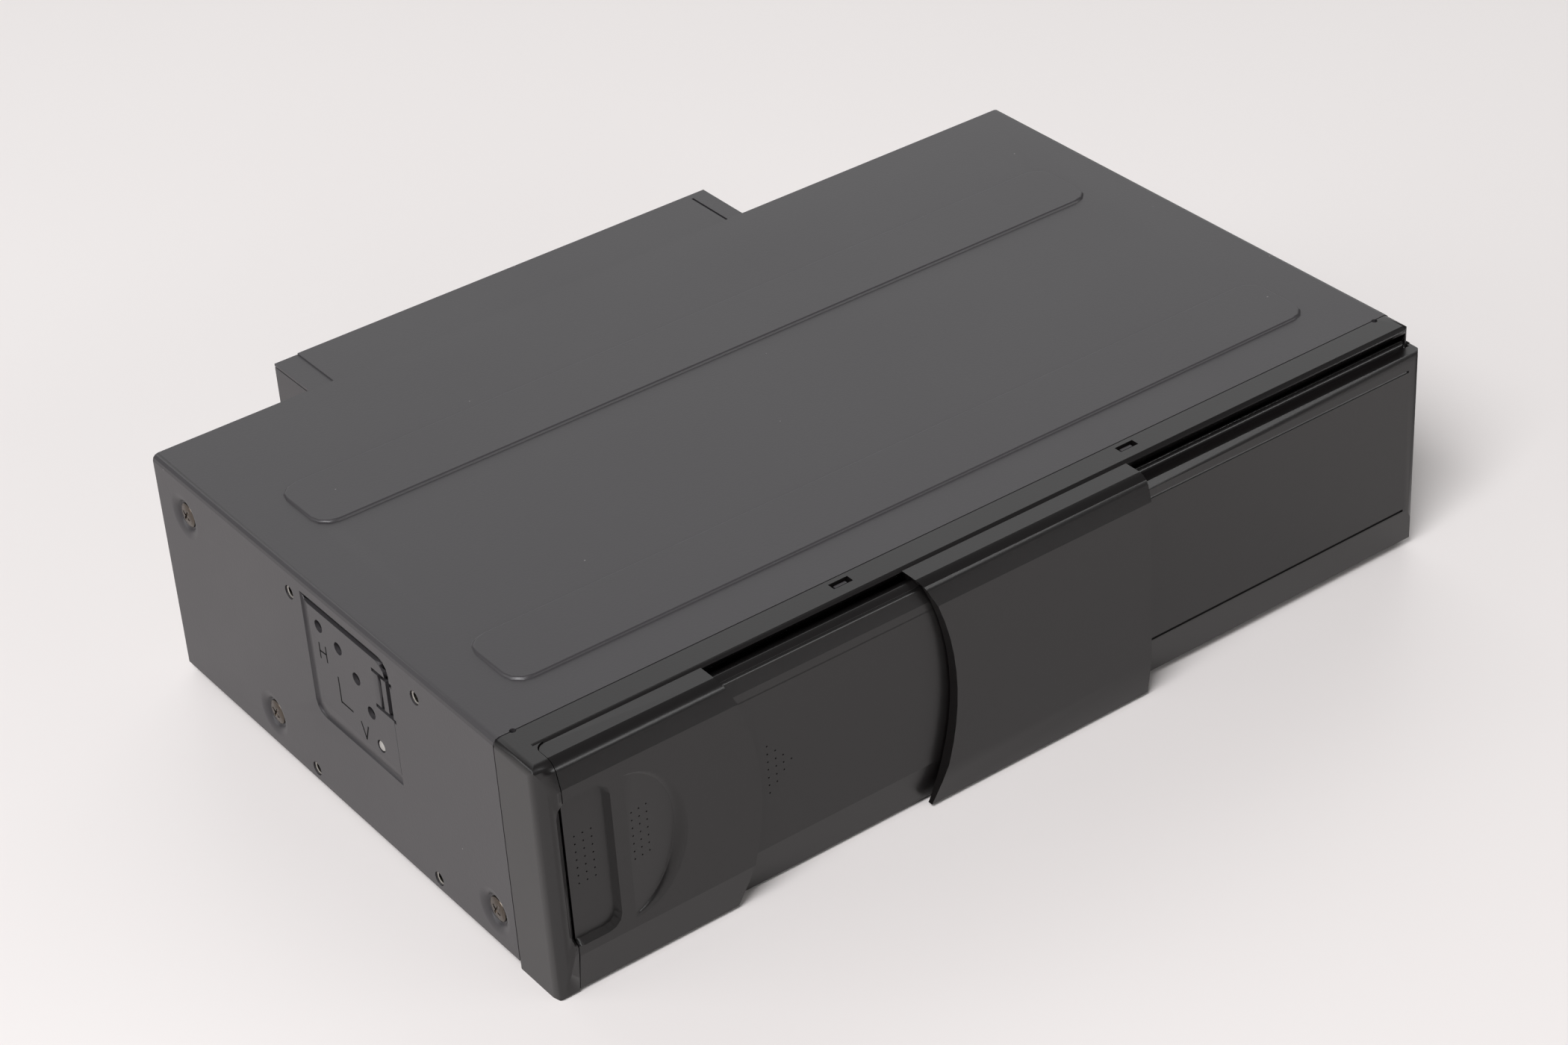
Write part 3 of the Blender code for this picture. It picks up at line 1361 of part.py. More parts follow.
def rear_box():
    """Sheet box on the chassis's back, open towards it and closed above by its own cover."""
    front = BODY_DEPTH + GAP
    top = BOX_HIGH - SHEET - GAP
    block = box(BOX_LEFT, BOX_RIGHT, front, DEPTH, BOX_LOW, top)
    hollow = box(
        BOX_LEFT + SHEET, BOX_RIGHT - SHEET, front - OVERRUN, DEPTH - SHEET, BOX_LOW + SHEET, TOP + OVERRUN
    )
    power = box(
        POWER_X - POWER_WIDTH / 2 - GAP,
        POWER_X + POWER_WIDTH / 2 + GAP,
        DEPTH - SHEET - OVERRUN,
        DEPTH + OVERRUN,
        POWER_Z - POWER_HEIGHT / 2 - GAP,
        POWER_Z + POWER_HEIGHT / 2 + GAP,
    )
    data = rod("Y", DATA_X, DATA_Z, DATA_RADIUS + GAP, DEPTH - SHEET - OVERRUN, DEPTH + OVERRUN)
    piece(
        "rear_box",
        block,
        SATIN_PAINT,
        [("DIFFERENCE", hollow), ("DIFFERENCE", joined([power, data]))],
    )


def rear_box_cover():
    """Flat lid with the slit beside its end flange and a low fold near its left end."""
    front = BODY_DEPTH + GAP
    slit = box(
        BOX_SLIT_X,
        BOX_SLIT_X + BOX_SLIT,
        front - OVERRUN,
        DEPTH - BOX_SLIT_INSET,
        BOX_HIGH - SHEET - OVERRUN,
        BOX_HIGH + OVERRUN,
    )
    fold = box(
        BOX_LEFT - OVERRUN,
        BOX_FOLD_X,
        front - OVERRUN,
        DEPTH + OVERRUN,
        BOX_HIGH - SHEET / 3,
        BOX_HIGH + OVERRUN,
    )
    piece(
        "rear_box_cover",
        box(BOX_LEFT, BOX_RIGHT, front, DEPTH, BOX_HIGH - SHEET, BOX_HIGH),
        SATIN_PAINT,
        [("DIFFERENCE", joined([slit, fold]))],
    )


def power_socket():
    """Rectangular shroud, open to the back, with a flange inside the rear wall of the box."""
    half_width = POWER_WIDTH / 2
    half_height = POWER_HEIGHT / 2
    front = DEPTH - SHEET - GAP - SOCKET_DEPTH
    body = box(
        POWER_X - half_width, POWER_X + half_width, front, DEPTH, POWER_Z - half_height, POWER_Z + half_height
    )
    flange = box(
        POWER_X - half_width - SOCKET_WALL,
        POWER_X + half_width + SOCKET_WALL,
        DEPTH - SHEET - GAP - SOCKET_WALL,
        DEPTH - SHEET - GAP,
        POWER_Z - half_height - SOCKET_WALL,
        POWER_Z + half_height + SOCKET_WALL,
    )
    hollow = box(
        POWER_X - half_width + SOCKET_WALL,
        POWER_X + half_width - SOCKET_WALL,
        front + SOCKET_WALL,
        DEPTH + OVERRUN,
        POWER_Z - half_height + SOCKET_WALL,
        POWER_Z + half_height - SOCKET_WALL,
    )
    piece("power_socket", body, BLACK_PLASTIC, [("UNION", flange), ("DIFFERENCE", hollow)])


def data_socket():
    """Round socket, open to the back, with a flange inside the rear wall of the box."""
    front = DEPTH - SHEET - GAP - SOCKET_DEPTH
    seat = DEPTH - SHEET - GAP
    profile = (
        (DATA_RADIUS, front),
        (DATA_RADIUS, seat - SOCKET_WALL),
        (DATA_RADIUS + SOCKET_WALL, seat - SOCKET_WALL),
        (DATA_RADIUS + SOCKET_WALL, seat),
        (DATA_RADIUS, seat),
        (DATA_RADIUS, DEPTH),
    )
    hollow = rod("Y", DATA_X, DATA_Z, DATA_RADIUS - SOCKET_WALL, front + SOCKET_WALL, DEPTH + OVERRUN)
    piece("data_socket", turned("Y", DATA_X, DATA_Z, profile), BLACK_PLASTIC, [("DIFFERENCE", hollow)])


def mechanism_frame():
    """Floating frame: floor, side, rear and front walls, the magazine's shelf and its rail."""
    block = box(FRAME_LEFT, FRAME_RIGHT, FRAME_FRONT_Y, FRAME_BACK_Y, FLOOR_Z, FRAME_REAR_TOP)
    well = box(
        FRAME_LEFT + SHEET,
        FRAME_RIGHT - SHEET,
        FRAME_FRONT_Y + SHEET,
        FRAME_BACK_Y - SHEET,
        FLOOR_TOP,
        TOP,
    )
    back = FRAME_BACK_Y - 2 * SHEET
    open_top = box(FRAME_LEFT - OVERRUN, FRAME_RIGHT + OVERRUN, -OVERRUN, back, FRAME_WALL_TOP, TOP)
    open_right = box(FRAME_RIGHT - 2 * SHEET, FRAME_RIGHT + OVERRUN, FRAME_RIGHT_OPEN, back, FRAME_RIGHT_TOP, TOP)
    open_front = box(-OVERRUN, FRONT_WALL_LEFT, -OVERRUN, FRAME_FRONT_Y + SHEET + GAP, -OVERRUN, TOP)
    seat = CASE_UNDER - GAP
    shelf = box(
        FRAME_LEFT + SHEET / 2,
        FRAME_LEFT + SHEET + SHELF_WIDTH,
        FRAME_FRONT_Y + 2 * SHEET,
        FRAME_BACK_Y - SHEET / 2,
        seat - SHEET,
        seat,
    )
    rail = (
        (RAIL_X, FLOOR_TOP - SHEET / 2),
        (RAIL_X, seat),
        (RAIL_X + RAIL_TOP_WIDTH, seat),
        (RAIL_X + RAIL_TOP_WIDTH, seat - SHEET),
        (RAIL_X + SHEET, seat - SHEET),
        (RAIL_X + SHEET, FLOOR_TOP - SHEET / 2),
    )
    button_bay = box(
        BUTTON_LEFT - OVERRUN,
        BUTTON_RIGHT + OVERRUN,
        FRAME_FRONT_Y - OVERRUN,
        BUTTON_BACK + BUTTON_TRAVEL + OVERRUN,
        FLOOR_Z - OVERRUN,
        FLOOR_TOP + OVERRUN,
    )
    shaft_hole = rod("Z", GEAR_X, GEAR_Y, LIFT_SHAFT_RADIUS + GAP, FLOOR_Z - OVERRUN, FLOOR_TOP + OVERRUN)
    piece(
        "mechanism_frame",
        block,
        ZINC_SHEET,
        [
            ("DIFFERENCE", well),
            ("DIFFERENCE", open_top),
            ("DIFFERENCE", open_right),
            ("DIFFERENCE", open_front),
            ("UNION", shelf),
            ("UNION", prism(rail, "Y", BUTTON_BACK + BUTTON_TRAVEL + 2 * OVERRUN, RAIL_BACK)),
            ("DIFFERENCE", joined([button_bay, shaft_hole])),
        ],
    )


def dampers():
    """Waisted rubber dampers between the pan and the mechanism frame."""
    low = PAN_UNDER + SHEET + GAP
    high = FLOOR_Z - GAP
    waist = (high - low) / 3
    profile = (
        (DAMPER_RADIUS, low),
        (DAMPER_RADIUS, low + waist),
        (DAMPER_WAIST, low + waist * DAMPER_NECK_SHARE),
        (DAMPER_WAIST, high - waist * DAMPER_NECK_SHARE),
        (DAMPER_RADIUS, high - waist),
        (DAMPER_RADIUS, high),
    )
    for across_name, x in (("left", DAMPER_INSET_X), ("right", WIDTH - DAMPER_INSET_X)):
        for along_name, y in (("front", DAMPER_FRONT_Y), ("rear", DAMPER_BACK_Y)):
            piece(f"damper_{along_name}_{across_name}", turned("Z", x, y, profile), RUBBER)


def tray_z(number):
    return TRAY_Z + TRAY_PITCH * (number - 1)


def case_cavity():
    """The comb-shaped section inside the magazine: one pair of grooves for each tray."""
    front_tip = CASE_GROOVE_FRONT + CASE_GROOVE
    back_tip = CASE_GROOVE_BACK - CASE_GROOVE
    front = [(front_tip, CASE_FLOOR)]
    for number in range(1, TRAY_COUNT + 1):
        low = tray_z(number) - GAP
        high = tray_z(number) + TRAY_SHEET + GAP
        front += [(front_tip, low), (CASE_GROOVE_FRONT, low), (CASE_GROOVE_FRONT, high), (front_tip, high)]
    front.append((front_tip, CASE_CEILING))
    middle = front_tip + back_tip
    back = [(middle - y, z) for y, z in reversed(front)]
    return front + back


def magazine_case():
    """The magazine's shell, open at the right for the trays, with a finger pocket in its front."""
    section = filleted(
        [
            (CASE_LEFT, CASE_UNDER, CASE_SLOT_CORNER),
            (CASE_RIGHT, CASE_UNDER),
            (CASE_RIGHT, CASE_TOP),
            (CASE_LEFT, CASE_TOP, CASE_SLOT_CORNER),
        ]
    )
    pocket = rounded(
        CASE_POCKET_LEFT, CASE_POCKET_RIGHT, CASE_POCKET_LOW, CASE_POCKET_HIGH, CASE_POCKET_DEPTH / 2
    )
    piece(
        "magazine_case",
        prism(section, "Y", CASE_FRONT, CASE_BACK),
        MAGAZINE_PLASTIC,
        [
            ("DIFFERENCE", prism(case_cavity(), "X", CASE_LEFT + CASE_WALL, CASE_RIGHT + OVERRUN)),
            ("DIFFERENCE", prism(pocket, "Y", CASE_FRONT - OVERRUN, CASE_FRONT + CASE_POCKET_DEPTH)),
        ],
    )


def tee_slot():
    """The slot at a tray's corner: a pocket for the puller's head and a neck open to the right."""
    half_head = HEAD_WIDTH / 2 + RUN_GAP
    half_neck = NECK_WIDTH / 2 + RUN_GAP
    left = HEAD_X - RUN_GAP
    right = HEAD_X + HEAD_LENGTH + RUN_GAP
    far = TRAY_RIGHT + OVERRUN
    return (
        (left, HEAD_Y - half_head),
        (right, HEAD_Y - half_head),
        (right, HEAD_Y - half_neck),
        (far, HEAD_Y - half_neck),
        (far, HEAD_Y + half_neck),
        (right, HEAD_Y + half_neck),
        (right, HEAD_Y + half_head),
        (left, HEAD_Y + half_head),
    )


def tray_bay():
    """The bay that lets the turntable and the pickup reach the disc, open to the right."""
    half = BAY_HALF_WIDTH
    points = [(TRAY_RIGHT + OVERRUN, DISC_Y - half), (TRAY_RIGHT + OVERRUN, DISC_Y + half)]
    steps = 3 * ARC_POINTS
    for step in range(steps + 1):
        turn = math.pi * (0.5 + step / steps)
        points.append((DISC_X + half * math.cos(turn), DISC_Y + half * math.sin(turn)))
    return points


def trays_and_discs():
    outline = filleted(
        [
            (TRAY_LEFT, TRAY_FRONT, TRAY_CORNER),
            (TRAY_RIGHT, TRAY_FRONT),
            (TRAY_RIGHT, TRAY_BACK),
            (TRAY_LEFT, TRAY_BACK, TRAY_CORNER),
        ]
    )
    for number in range(1, TRAY_COUNT + 1):
        low = tray_z(number)
        high = low + TRAY_SHEET
        seat = high - TRAY_POCKET
        nest = rod("Z", DISC_X, DISC_Y, DISC_RADIUS + DISC_MARGIN, seat, high + OVERRUN, FINE_SIDES)
        cuts = [prism(tee_slot(), "Z", low - OVERRUN, high + OVERRUN)]
        cuts.append(prism(tray_bay(), "Z", low - OVERRUN, high + OVERRUN))
        piece(
            f"tray_{number}",
            prism(outline, "Z", low, high),
            TRAY_PLASTIC,
            [("DIFFERENCE", nest), ("DIFFERENCE", joined(cuts))],
            origin=(TRAY_LEFT, DISC_Y, low),
        )
        under = seat + GAP
        disc = tube("Z", DISC_X, DISC_Y, DISC_RADIUS, DISC_HOLE, under, under + DISC_SHEET, FINE_SIDES)
        piece(f"disc_{number}", disc, DISC_MIRROR, origin=(DISC_X, DISC_Y, under))


def tray_puller():
    """Nut on the draw screw with an arm whose T-head stands in the trays' slots."""
    low = CASE_FLOOR + GAP
    high = low + HEAD_RISE
    nut_right = NUT_X + NUT_LENGTH
    nut_front = DRAW_SCREW_Y - NUT_WIDTH / 2
    nut = box(NUT_X, nut_right, nut_front, nut_front + NUT_WIDTH, NUT_LOW, TRAY_Z - GAP)
    half_head = HEAD_WIDTH / 2
    half_neck = NECK_WIDTH / 2
    arm = (
        (HEAD_X, HEAD_Y - half_head),
        (HEAD_X + HEAD_LENGTH, HEAD_Y - half_head),
        (HEAD_X + HEAD_LENGTH, HEAD_Y - half_neck),
        (nut_right, HEAD_Y - half_neck),
        (nut_right, HEAD_Y + half_neck),
        (HEAD_X + HEAD_LENGTH, HEAD_Y + half_neck),
        (HEAD_X + HEAD_LENGTH, HEAD_Y + half_head),
        (HEAD_X, HEAD_Y + half_head),
    )
    bridge = box(NUT_X, nut_right, HEAD_Y, nut_front + NUT_WIDTH / 4, DRAW_SCREW_Z, TRAY_Z - GAP)
    bore = rod("X", DRAW_SCREW_Y, DRAW_SCREW_Z, DRAW_SCREW_RADIUS + GAP, NUT_X - OVERRUN, nut_right + OVERRUN)
    piece(
        "tray_puller",
        prism(arm, "Z", low, high),
        ACETAL,
        [("UNION", bridge), ("UNION", nut), ("DIFFERENCE", bore)],
        origin=(NUT_X, DRAW_SCREW_Y, DRAW_SCREW_Z),
    )


def draw_screw():
    left = DECK_LEFT
    right = DECK_RIGHT - DRAW_MOTOR_LENGTH - GAP
    shape = rod("X", DRAW_SCREW_Y, DRAW_SCREW_Z, DRAW_SCREW_RADIUS, left, right)
    piece("draw_screw", shape, BRIGHT_STEEL, origin=(left, DRAW_SCREW_Y, DRAW_SCREW_Z))


def motor_can(name, y, z, radius, length):
    """A small round motor with its axis along X, chamfered at both ends."""
    right = DECK_RIGHT
    left = right - length
    chamfer = radius / 6
    profile = (
        (radius - chamfer, left),
        (radius, left + chamfer),
        (radius, right - chamfer),
        (radius - chamfer, right),
    )
    piece(name, turned("X", y, z, profile), BRIGHT_STEEL, origin=(left, y, z))


def deck_posts():
    """Posts for the guide rods and the feed screw, one row at each end of their run."""
    posts = []
    for left in (POST_LEFT, POST_RIGHT):
        for y in (ROD_FRONT_Y, ROD_BACK_Y, FEED_SCREW_Y):
            front = y - POST_HALF_WIDTH
            if left == POST_RIGHT and y == FEED_SCREW_Y:
                continue
            posts.append(
                box(left, left + POST_LENGTH, front, front + 2 * POST_HALF_WIDTH, DECK_TOP - DECK_SHEET / 2, POST_TOP)
            )
    return joined(posts)


def deck_bores():
    """Bores for both guide rods and the feed screw through their posts, and for the draw screw."""
    bores = []
    for y in (ROD_FRONT_Y, ROD_BACK_Y):
        bores.append(rod("X", y, ROD_Z, ROD_RADIUS + GAP, POST_LEFT - OVERRUN, POST_RIGHT + POST_LENGTH + OVERRUN))
    end = POST_LEFT + POST_LENGTH + OVERRUN
    bores.append(rod("X", FEED_SCREW_Y, ROD_Z, FEED_SCREW_RADIUS + GAP, POST_LEFT - OVERRUN, end))
    end = DECK_LEFT + DRAW_POST + OVERRUN
    bores.append(
        rod("X", DRAW_SCREW_Y, DRAW_SCREW_Z, DRAW_SCREW_RADIUS + GAP, DECK_LEFT - OVERRUN, end)
    )
    return joined(bores)


def clamp_post(side):
    """One of the two posts that carry the clamp arm's pivot pin."""
    left = CLAMP_PIVOT_X - CLAMP_POST_LENGTH / 2
    near = CLAMP_HALF_WIDTH + RUN_GAP
    low = DISC_Y + side * near
    high = DISC_Y + side * (near + CLAMP_POST)
    outline = filleted(
        [
            (left, DECK_TOP - DECK_SHEET / 2),
            (left + CLAMP_POST_LENGTH, DECK_TOP - DECK_SHEET / 2),
            (left + CLAMP_POST_LENGTH, CLAMP_PIVOT_Z + CLAMP_POST_LENGTH / 2, CLAMP_HUB_RADIUS),
            (left, CLAMP_PIVOT_Z + CLAMP_POST_LENGTH / 2, CLAMP_HUB_RADIUS),
        ]
    )
    return prism(outline, "Y", min(low, high), max(low, high))


def drive_deck():
    """Lifting plate: turned-up lips with cam pins, posts for the rods, the clamp and the draw screw."""
    plate = box(DECK_LEFT, DECK_RIGHT, DECK_FRONT, DECK_BACK, DECK_Z, DECK_TOP)
    lips = []
    pins = []
    for front in (DECK_FRONT, DECK_BACK - DECK_SHEET):
        lips.append(
            box(
                DECK_LIP_LEFT, DECK_LIP_RIGHT, front, front + DECK_SHEET, DECK_TOP - DECK_SHEET / 2, DECK_TOP + DECK_LIP_RISE
            )
        )
    for x in PIN_PLACES:
        pins.append(rod("Y", x, PIN_Z, PIN_RADIUS, CAM_FRONT_Y + GAP, DECK_FRONT + DECK_SHEET / 2))
        pins.append(rod("Y", x, PIN_Z, PIN_RADIUS, DECK_BACK - DECK_SHEET / 2, CAM_BACK_Y - GAP))
    screw_post = box(
        DECK_LEFT,
        DECK_LEFT + DRAW_POST,
        DRAW_SCREW_Y - NUT_WIDTH / 2,
        DRAW_SCREW_Y + NUT_WIDTH / 2,
        DECK_TOP - DECK_SHEET / 2,
        DRAW_SCREW_Z + NUT_WIDTH / 2,
    )
    bay = rounded(
        DECK_BAY_LEFT,
        DECK_BAY_RIGHT,
        ROD_FRONT_Y + 2 * POST_HALF_WIDTH,
        ROD_BACK_Y - 2 * POST_HALF_WIDTH,
        POST_HALF_WIDTH,
    )
    pin_bore = rod(
        "Y",
        CLAMP_PIVOT_X,
        CLAMP_PIVOT_Z,
        CLAMP_PIN_RADIUS + GAP,
        DISC_Y - CLAMP_HALF_WIDTH - CLAMP_POST - OVERRUN,
        DISC_Y + CLAMP_HALF_WIDTH + CLAMP_POST + OVERRUN,
    )
    piece(
        "drive_deck",
        plate,
        ZINC_SHEET,
        [
            ("UNION", joined(lips)),
            ("UNION", joined(pins)),
            ("UNION", deck_posts()),
            ("UNION", joined([clamp_post(-1), clamp_post(1)])),
            ("UNION", screw_post),
            ("DIFFERENCE", prism(bay, "Z", DECK_Z - OVERRUN, DECK_TOP + OVERRUN)),
            ("DIFFERENCE", deck_bores()),
            ("DIFFERENCE", pin_bore),
        ],
        origin=(SPINDLE_X, DISC_Y, DECK_Z),
    )


def spindle_and_turntable():
    low = DECK_TOP + GAP
    high = low + SPINDLE_HEIGHT
    motor = tube("Z", SPINDLE_X, DISC_Y, SPINDLE_RADIUS, SHAFT_RADIUS + GAP, low, high)
    piece("spindle_motor", motor, BRIGHT_STEEL, origin=(SPINDLE_X, DISC_Y, low))
    under = high + RUN_GAP
    rim = under + PLATTER_SHEET
    profile = (
        (SHAFT_RADIUS, low + SHAFT_RADIUS),
        (SHAFT_RADIUS, under),
        (PLATTER_RADIUS, under),
        (PLATTER_RADIUS, rim),
        (PLATTER_HUB_RADIUS, rim),
        (PLATTER_HUB_RADIUS * 0.8, rim + PLATTER_HUB),
    )
    shape = turned("Z", SPINDLE_X, DISC_Y, profile, FINE_SIDES)
    piece("turntable", shape, BLACK_PLASTIC, origin=(SPINDLE_X, DISC_Y, under))


def pickup_sled():
    """Sled with a bore for each guide rod, a nut beside it for the feed screw, and the lens on top."""
    right = SLED_LEFT + SLED_LENGTH
    plan = filleted(
        [
            (SLED_LEFT, SLED_FRONT, POST_HALF_WIDTH),
            (right, SLED_FRONT, POST_HALF_WIDTH),
            (right, SLED_BACK),
            (SLED_LEFT + SLED_LENGTH / 3, SLED_BACK),
            (SLED_LEFT + SLED_LENGTH / 3, FEED_SCREW_Y + POST_HALF_WIDTH),
            (SLED_LEFT, FEED_SCREW_Y + POST_HALF_WIDTH),
        ]
    )
    bores = [
        rod("X", y, ROD_Z, radius + GAP, SLED_LEFT - OVERRUN, right + OVERRUN)
        for y, radius in ((ROD_FRONT_Y, ROD_RADIUS), (ROD_BACK_Y, ROD_RADIUS), (FEED_SCREW_Y, FEED_SCREW_RADIUS))
    ]
    lens_x = SLED_LEFT + SLED_LENGTH / 3
    lens = rod("Z", lens_x, DISC_Y, LENS_RADIUS, SLED_HIGH - LENS_RISE, SLED_HIGH + LENS_RISE)
    piece(
        "pickup_sled",
        prism(plan, "Z", SLED_LOW, SLED_HIGH),
        BLACK_PLASTIC,
        [("UNION", lens), ("DIFFERENCE", joined(bores))],
        origin=(SLED_LEFT, DISC_Y, ROD_Z),
    )


def rods_and_feed():
    left = POST_LEFT
    right = POST_RIGHT + POST_LENGTH
    for name, y in (("guide_rod_front", ROD_FRONT_Y), ("guide_rod_rear", ROD_BACK_Y)):
        piece(name, rod("X", y, ROD_Z, ROD_RADIUS, left, right), BRIGHT_STEEL, origin=(left, y, ROD_Z))
    end = DECK_RIGHT - FEED_MOTOR_LENGTH - GAP
    screw = rod("X", FEED_SCREW_Y, ROD_Z, FEED_SCREW_RADIUS, left, end)
    piece("feed_screw", screw, BRIGHT_STEEL, origin=(left, FEED_SCREW_Y, ROD_Z))


def clamp_arm():
    """Arm with a pivot hub and pin at the right, and a hole for the clamp disc's stem."""
    under = CLAMP_PIVOT_Z - CLAMP_SHEET / 2
    narrow = CLAMP_HALF_WIDTH * 0.6
    hub_end = CLAMP_PIVOT_X - CLAMP_HUB_RADIUS * 3
    plan = filleted(
        [
            (CLAMP_LEFT, DISC_Y - narrow, narrow / 2),
            (hub_end, DISC_Y - narrow),
            (CLAMP_PIVOT_X, DISC_Y - CLAMP_HALF_WIDTH),
            (CLAMP_PIVOT_X, DISC_Y + CLAMP_HALF_WIDTH),
            (hub_end, DISC_Y + narrow),
            (CLAMP_LEFT, DISC_Y + narrow, narrow / 2),
        ]
    )
    near = DISC_Y - CLAMP_HALF_WIDTH
    far = DISC_Y + CLAMP_HALF_WIDTH
    hub = rod("Y", CLAMP_PIVOT_X, CLAMP_PIVOT_Z, CLAMP_HUB_RADIUS, near, far)
    pin = rod("Y", CLAMP_PIVOT_X, CLAMP_PIVOT_Z, CLAMP_PIN_RADIUS, near - CLAMP_POST, far + CLAMP_POST)
    hole = rod("Z", SPINDLE_X, DISC_Y, PUCK_STEM_RADIUS + RUN_GAP, under - OVERRUN, under + OVERRUN)
    piece(
        "clamp_arm",
        prism(plan, "Z", under, under + CLAMP_SHEET),
        ACETAL,
        [("UNION", hub), ("UNION", pin), ("DIFFERENCE", hole)],
        origin=(CLAMP_PIVOT_X, DISC_Y, CLAMP_PIVOT_Z),
    )


def clamp_disc():
    arm_top = CLAMP_PIVOT_Z + CLAMP_SHEET / 2
    head = arm_top + RUN_GAP
    disc_top = PUCK_LOW + PUCK_SHEET
    profile = (
        (PUCK_RADIUS, PUCK_LOW),
        (PUCK_RADIUS, disc_top),
        (PUCK_STEM_RADIUS, disc_top),
        (PUCK_STEM_RADIUS, head),
        (PUCK_HEAD_RADIUS, head),
        (PUCK_HEAD_RADIUS, head + PUCK_HEAD),
    )
    shape = turned("Z", SPINDLE_X, DISC_Y, profile, FINE_SIDES)
    piece("clamp_disc", shape, ACETAL, origin=(SPINDLE_X, DISC_Y, PUCK_LOW))


def cam_slots(front, back):
    """One slanted slot for each pin: the plate slides right by a slot's run while its pin climbs."""
    slots = []
    for x in PIN_PLACES:
        end = (x - CAM_TRAVEL, PIN_Z + LIFT_TRAVEL)
        slots.append(prism(stadium((x, PIN_Z), end, PIN_RADIUS + GAP), "Y", front - OVERRUN, back + OVERRUN))
    return joined(slots)


def cam_plate_front():
    back = CAM_FRONT_Y + CAM_SHEET
    piece(
        "cam_plate_front",
        box(CAM_LEFT, CAM_RIGHT, CAM_FRONT_Y, back, CAM_LOW, CAM_TOP),
        BRIGHT_STEEL,
        [("DIFFERENCE", cam_slots(CAM_FRONT_Y, back))],
        origin=(CAM_LEFT, CAM_FRONT_Y, CAM_LOW),
    )


def rack_outline():
    """The rack in plan: a bar with trapezoid teeth towards the gear, a gap facing the gear's middle."""
    tip = RACK_PITCH_Y - GEAR_MODULE
    half_tip = RACK_PITCH * 0.09
    half_root = RACK_PITCH * 0.34
    last = GEAR_X + RACK_PITCH * 1.5
    first = last - RACK_PITCH * (RACK_TEETH - 1)
    points = [(CAM_LEFT + CAM_SHEET, CAM_BACK_Y), (first - RACK_PITCH, CAM_BACK_Y), (first - RACK_PITCH, RACK_ROOT_Y)]
    for number in range(RACK_TEETH):
        x = first + RACK_PITCH * number
        points += [(x - half_root, RACK_ROOT_Y), (x - half_tip, tip), (x + half_tip, tip), (x + half_root, RACK_ROOT_Y)]
    points.append((CAM_LEFT + CAM_SHEET, RACK_ROOT_Y))
    return points


def cam_plate_rear():
    """The rear cam plate, with the rack that the lift gear drives on its lower left arm."""
    front = CAM_BACK_Y - CAM_SHEET
    piece(
        "cam_plate_rear",
        box(CAM_LEFT, CAM_RIGHT, front, CAM_BACK_Y, CAM_LOW, CAM_TOP),
        BRIGHT_STEEL,
        [
            ("UNION", prism(rack_outline(), "Z", CAM_LOW, CAM_LOW + RACK_HEIGHT)),
            ("DIFFERENCE", cam_slots(front, CAM_BACK_Y)),
        ],
        origin=(CAM_LEFT, CAM_BACK_Y, CAM_LOW),
    )


def gear_outline():
    """Tooth by tooth: root, flank, tip. A tooth points at the rack, into the gap between two of its teeth."""
    root = GEAR_RADIUS - 1.15 * GEAR_MODULE
    tip = GEAR_RADIUS + GEAR_MODULE
    share_stations = ((root, -0.31), (GEAR_RADIUS, -0.20), (tip, -0.09), (tip, 0.09), (GEAR_RADIUS, 0.20), (root, 0.31))
    step = 2 * math.pi / GEAR_TEETH
    points = []
    for tooth in range(GEAR_TEETH):
        for radius, share in share_stations:
            turn = math.pi / 2 + step * (tooth + share)
            points.append((GEAR_X + radius * math.cos(turn), GEAR_Y + radius * math.sin(turn)))
    return points


def lift_gear():
    low = CAM_LOW + GAP
    bore = rod("Z", GEAR_X, GEAR_Y, GEAR_BORE, low - OVERRUN, low + GEAR_HEIGHT + OVERRUN)
    piece(
        "lift_gear",
        prism(gear_outline(), "Z", low, low + GEAR_HEIGHT),
        ACETAL,
        [("DIFFERENCE", bore)],
        origin=(GEAR_X, GEAR_Y, low),
    )


def lift_motor():
    """Flat motor under the frame's floor, its shaft up through the floor into the gear."""
    high = FLOOR_Z - GAP
    top = CAM_LOW + GAP + GEAR_HEIGHT
    profile = (
        (LIFT_MOTOR_RADIUS, high - LIFT_MOTOR_HEIGHT),
        (LIFT_MOTOR_RADIUS, high),
        (LIFT_SHAFT_RADIUS, high),
        (LIFT_SHAFT_RADIUS, top),
    )
    piece("lift_motor", turned("Z", GEAR_X, GEAR_Y, profile), BRIGHT_STEEL, origin=(GEAR_X, GEAR_Y, FLOOR_Z))


def eject_button():
    """Key with a hem behind the bezel's frame that stops it in its hole."""
    key = rounded(BUTTON_LEFT, BUTTON_RIGHT, BUTTON_LOW, BUTTON_HIGH, BUTTON_CORNER)
    hem_front = FRAME_FRONT_Y + RUN_GAP
    hem = rounded(
        BUTTON_LEFT - BUTTON_HEM,
        BUTTON_RIGHT + BUTTON_HEM,
        BUTTON_LOW - BUTTON_HEM / 2,
        BUTTON_HIGH + BUTTON_HEM,
        BUTTON_CORNER,
    )
    piece(
        "eject_button",
        prism(key, "Y", BUTTON_FRONT, BUTTON_BACK),
        BLACK_PLASTIC,
        [("UNION", prism(hem, "Y", hem_front, hem_front + BUTTON_HEM))],
        origin=((BUTTON_LEFT + BUTTON_RIGHT) / 2, BUTTON_FRONT, (BUTTON_LOW + BUTTON_HIGH) / 2),
    )


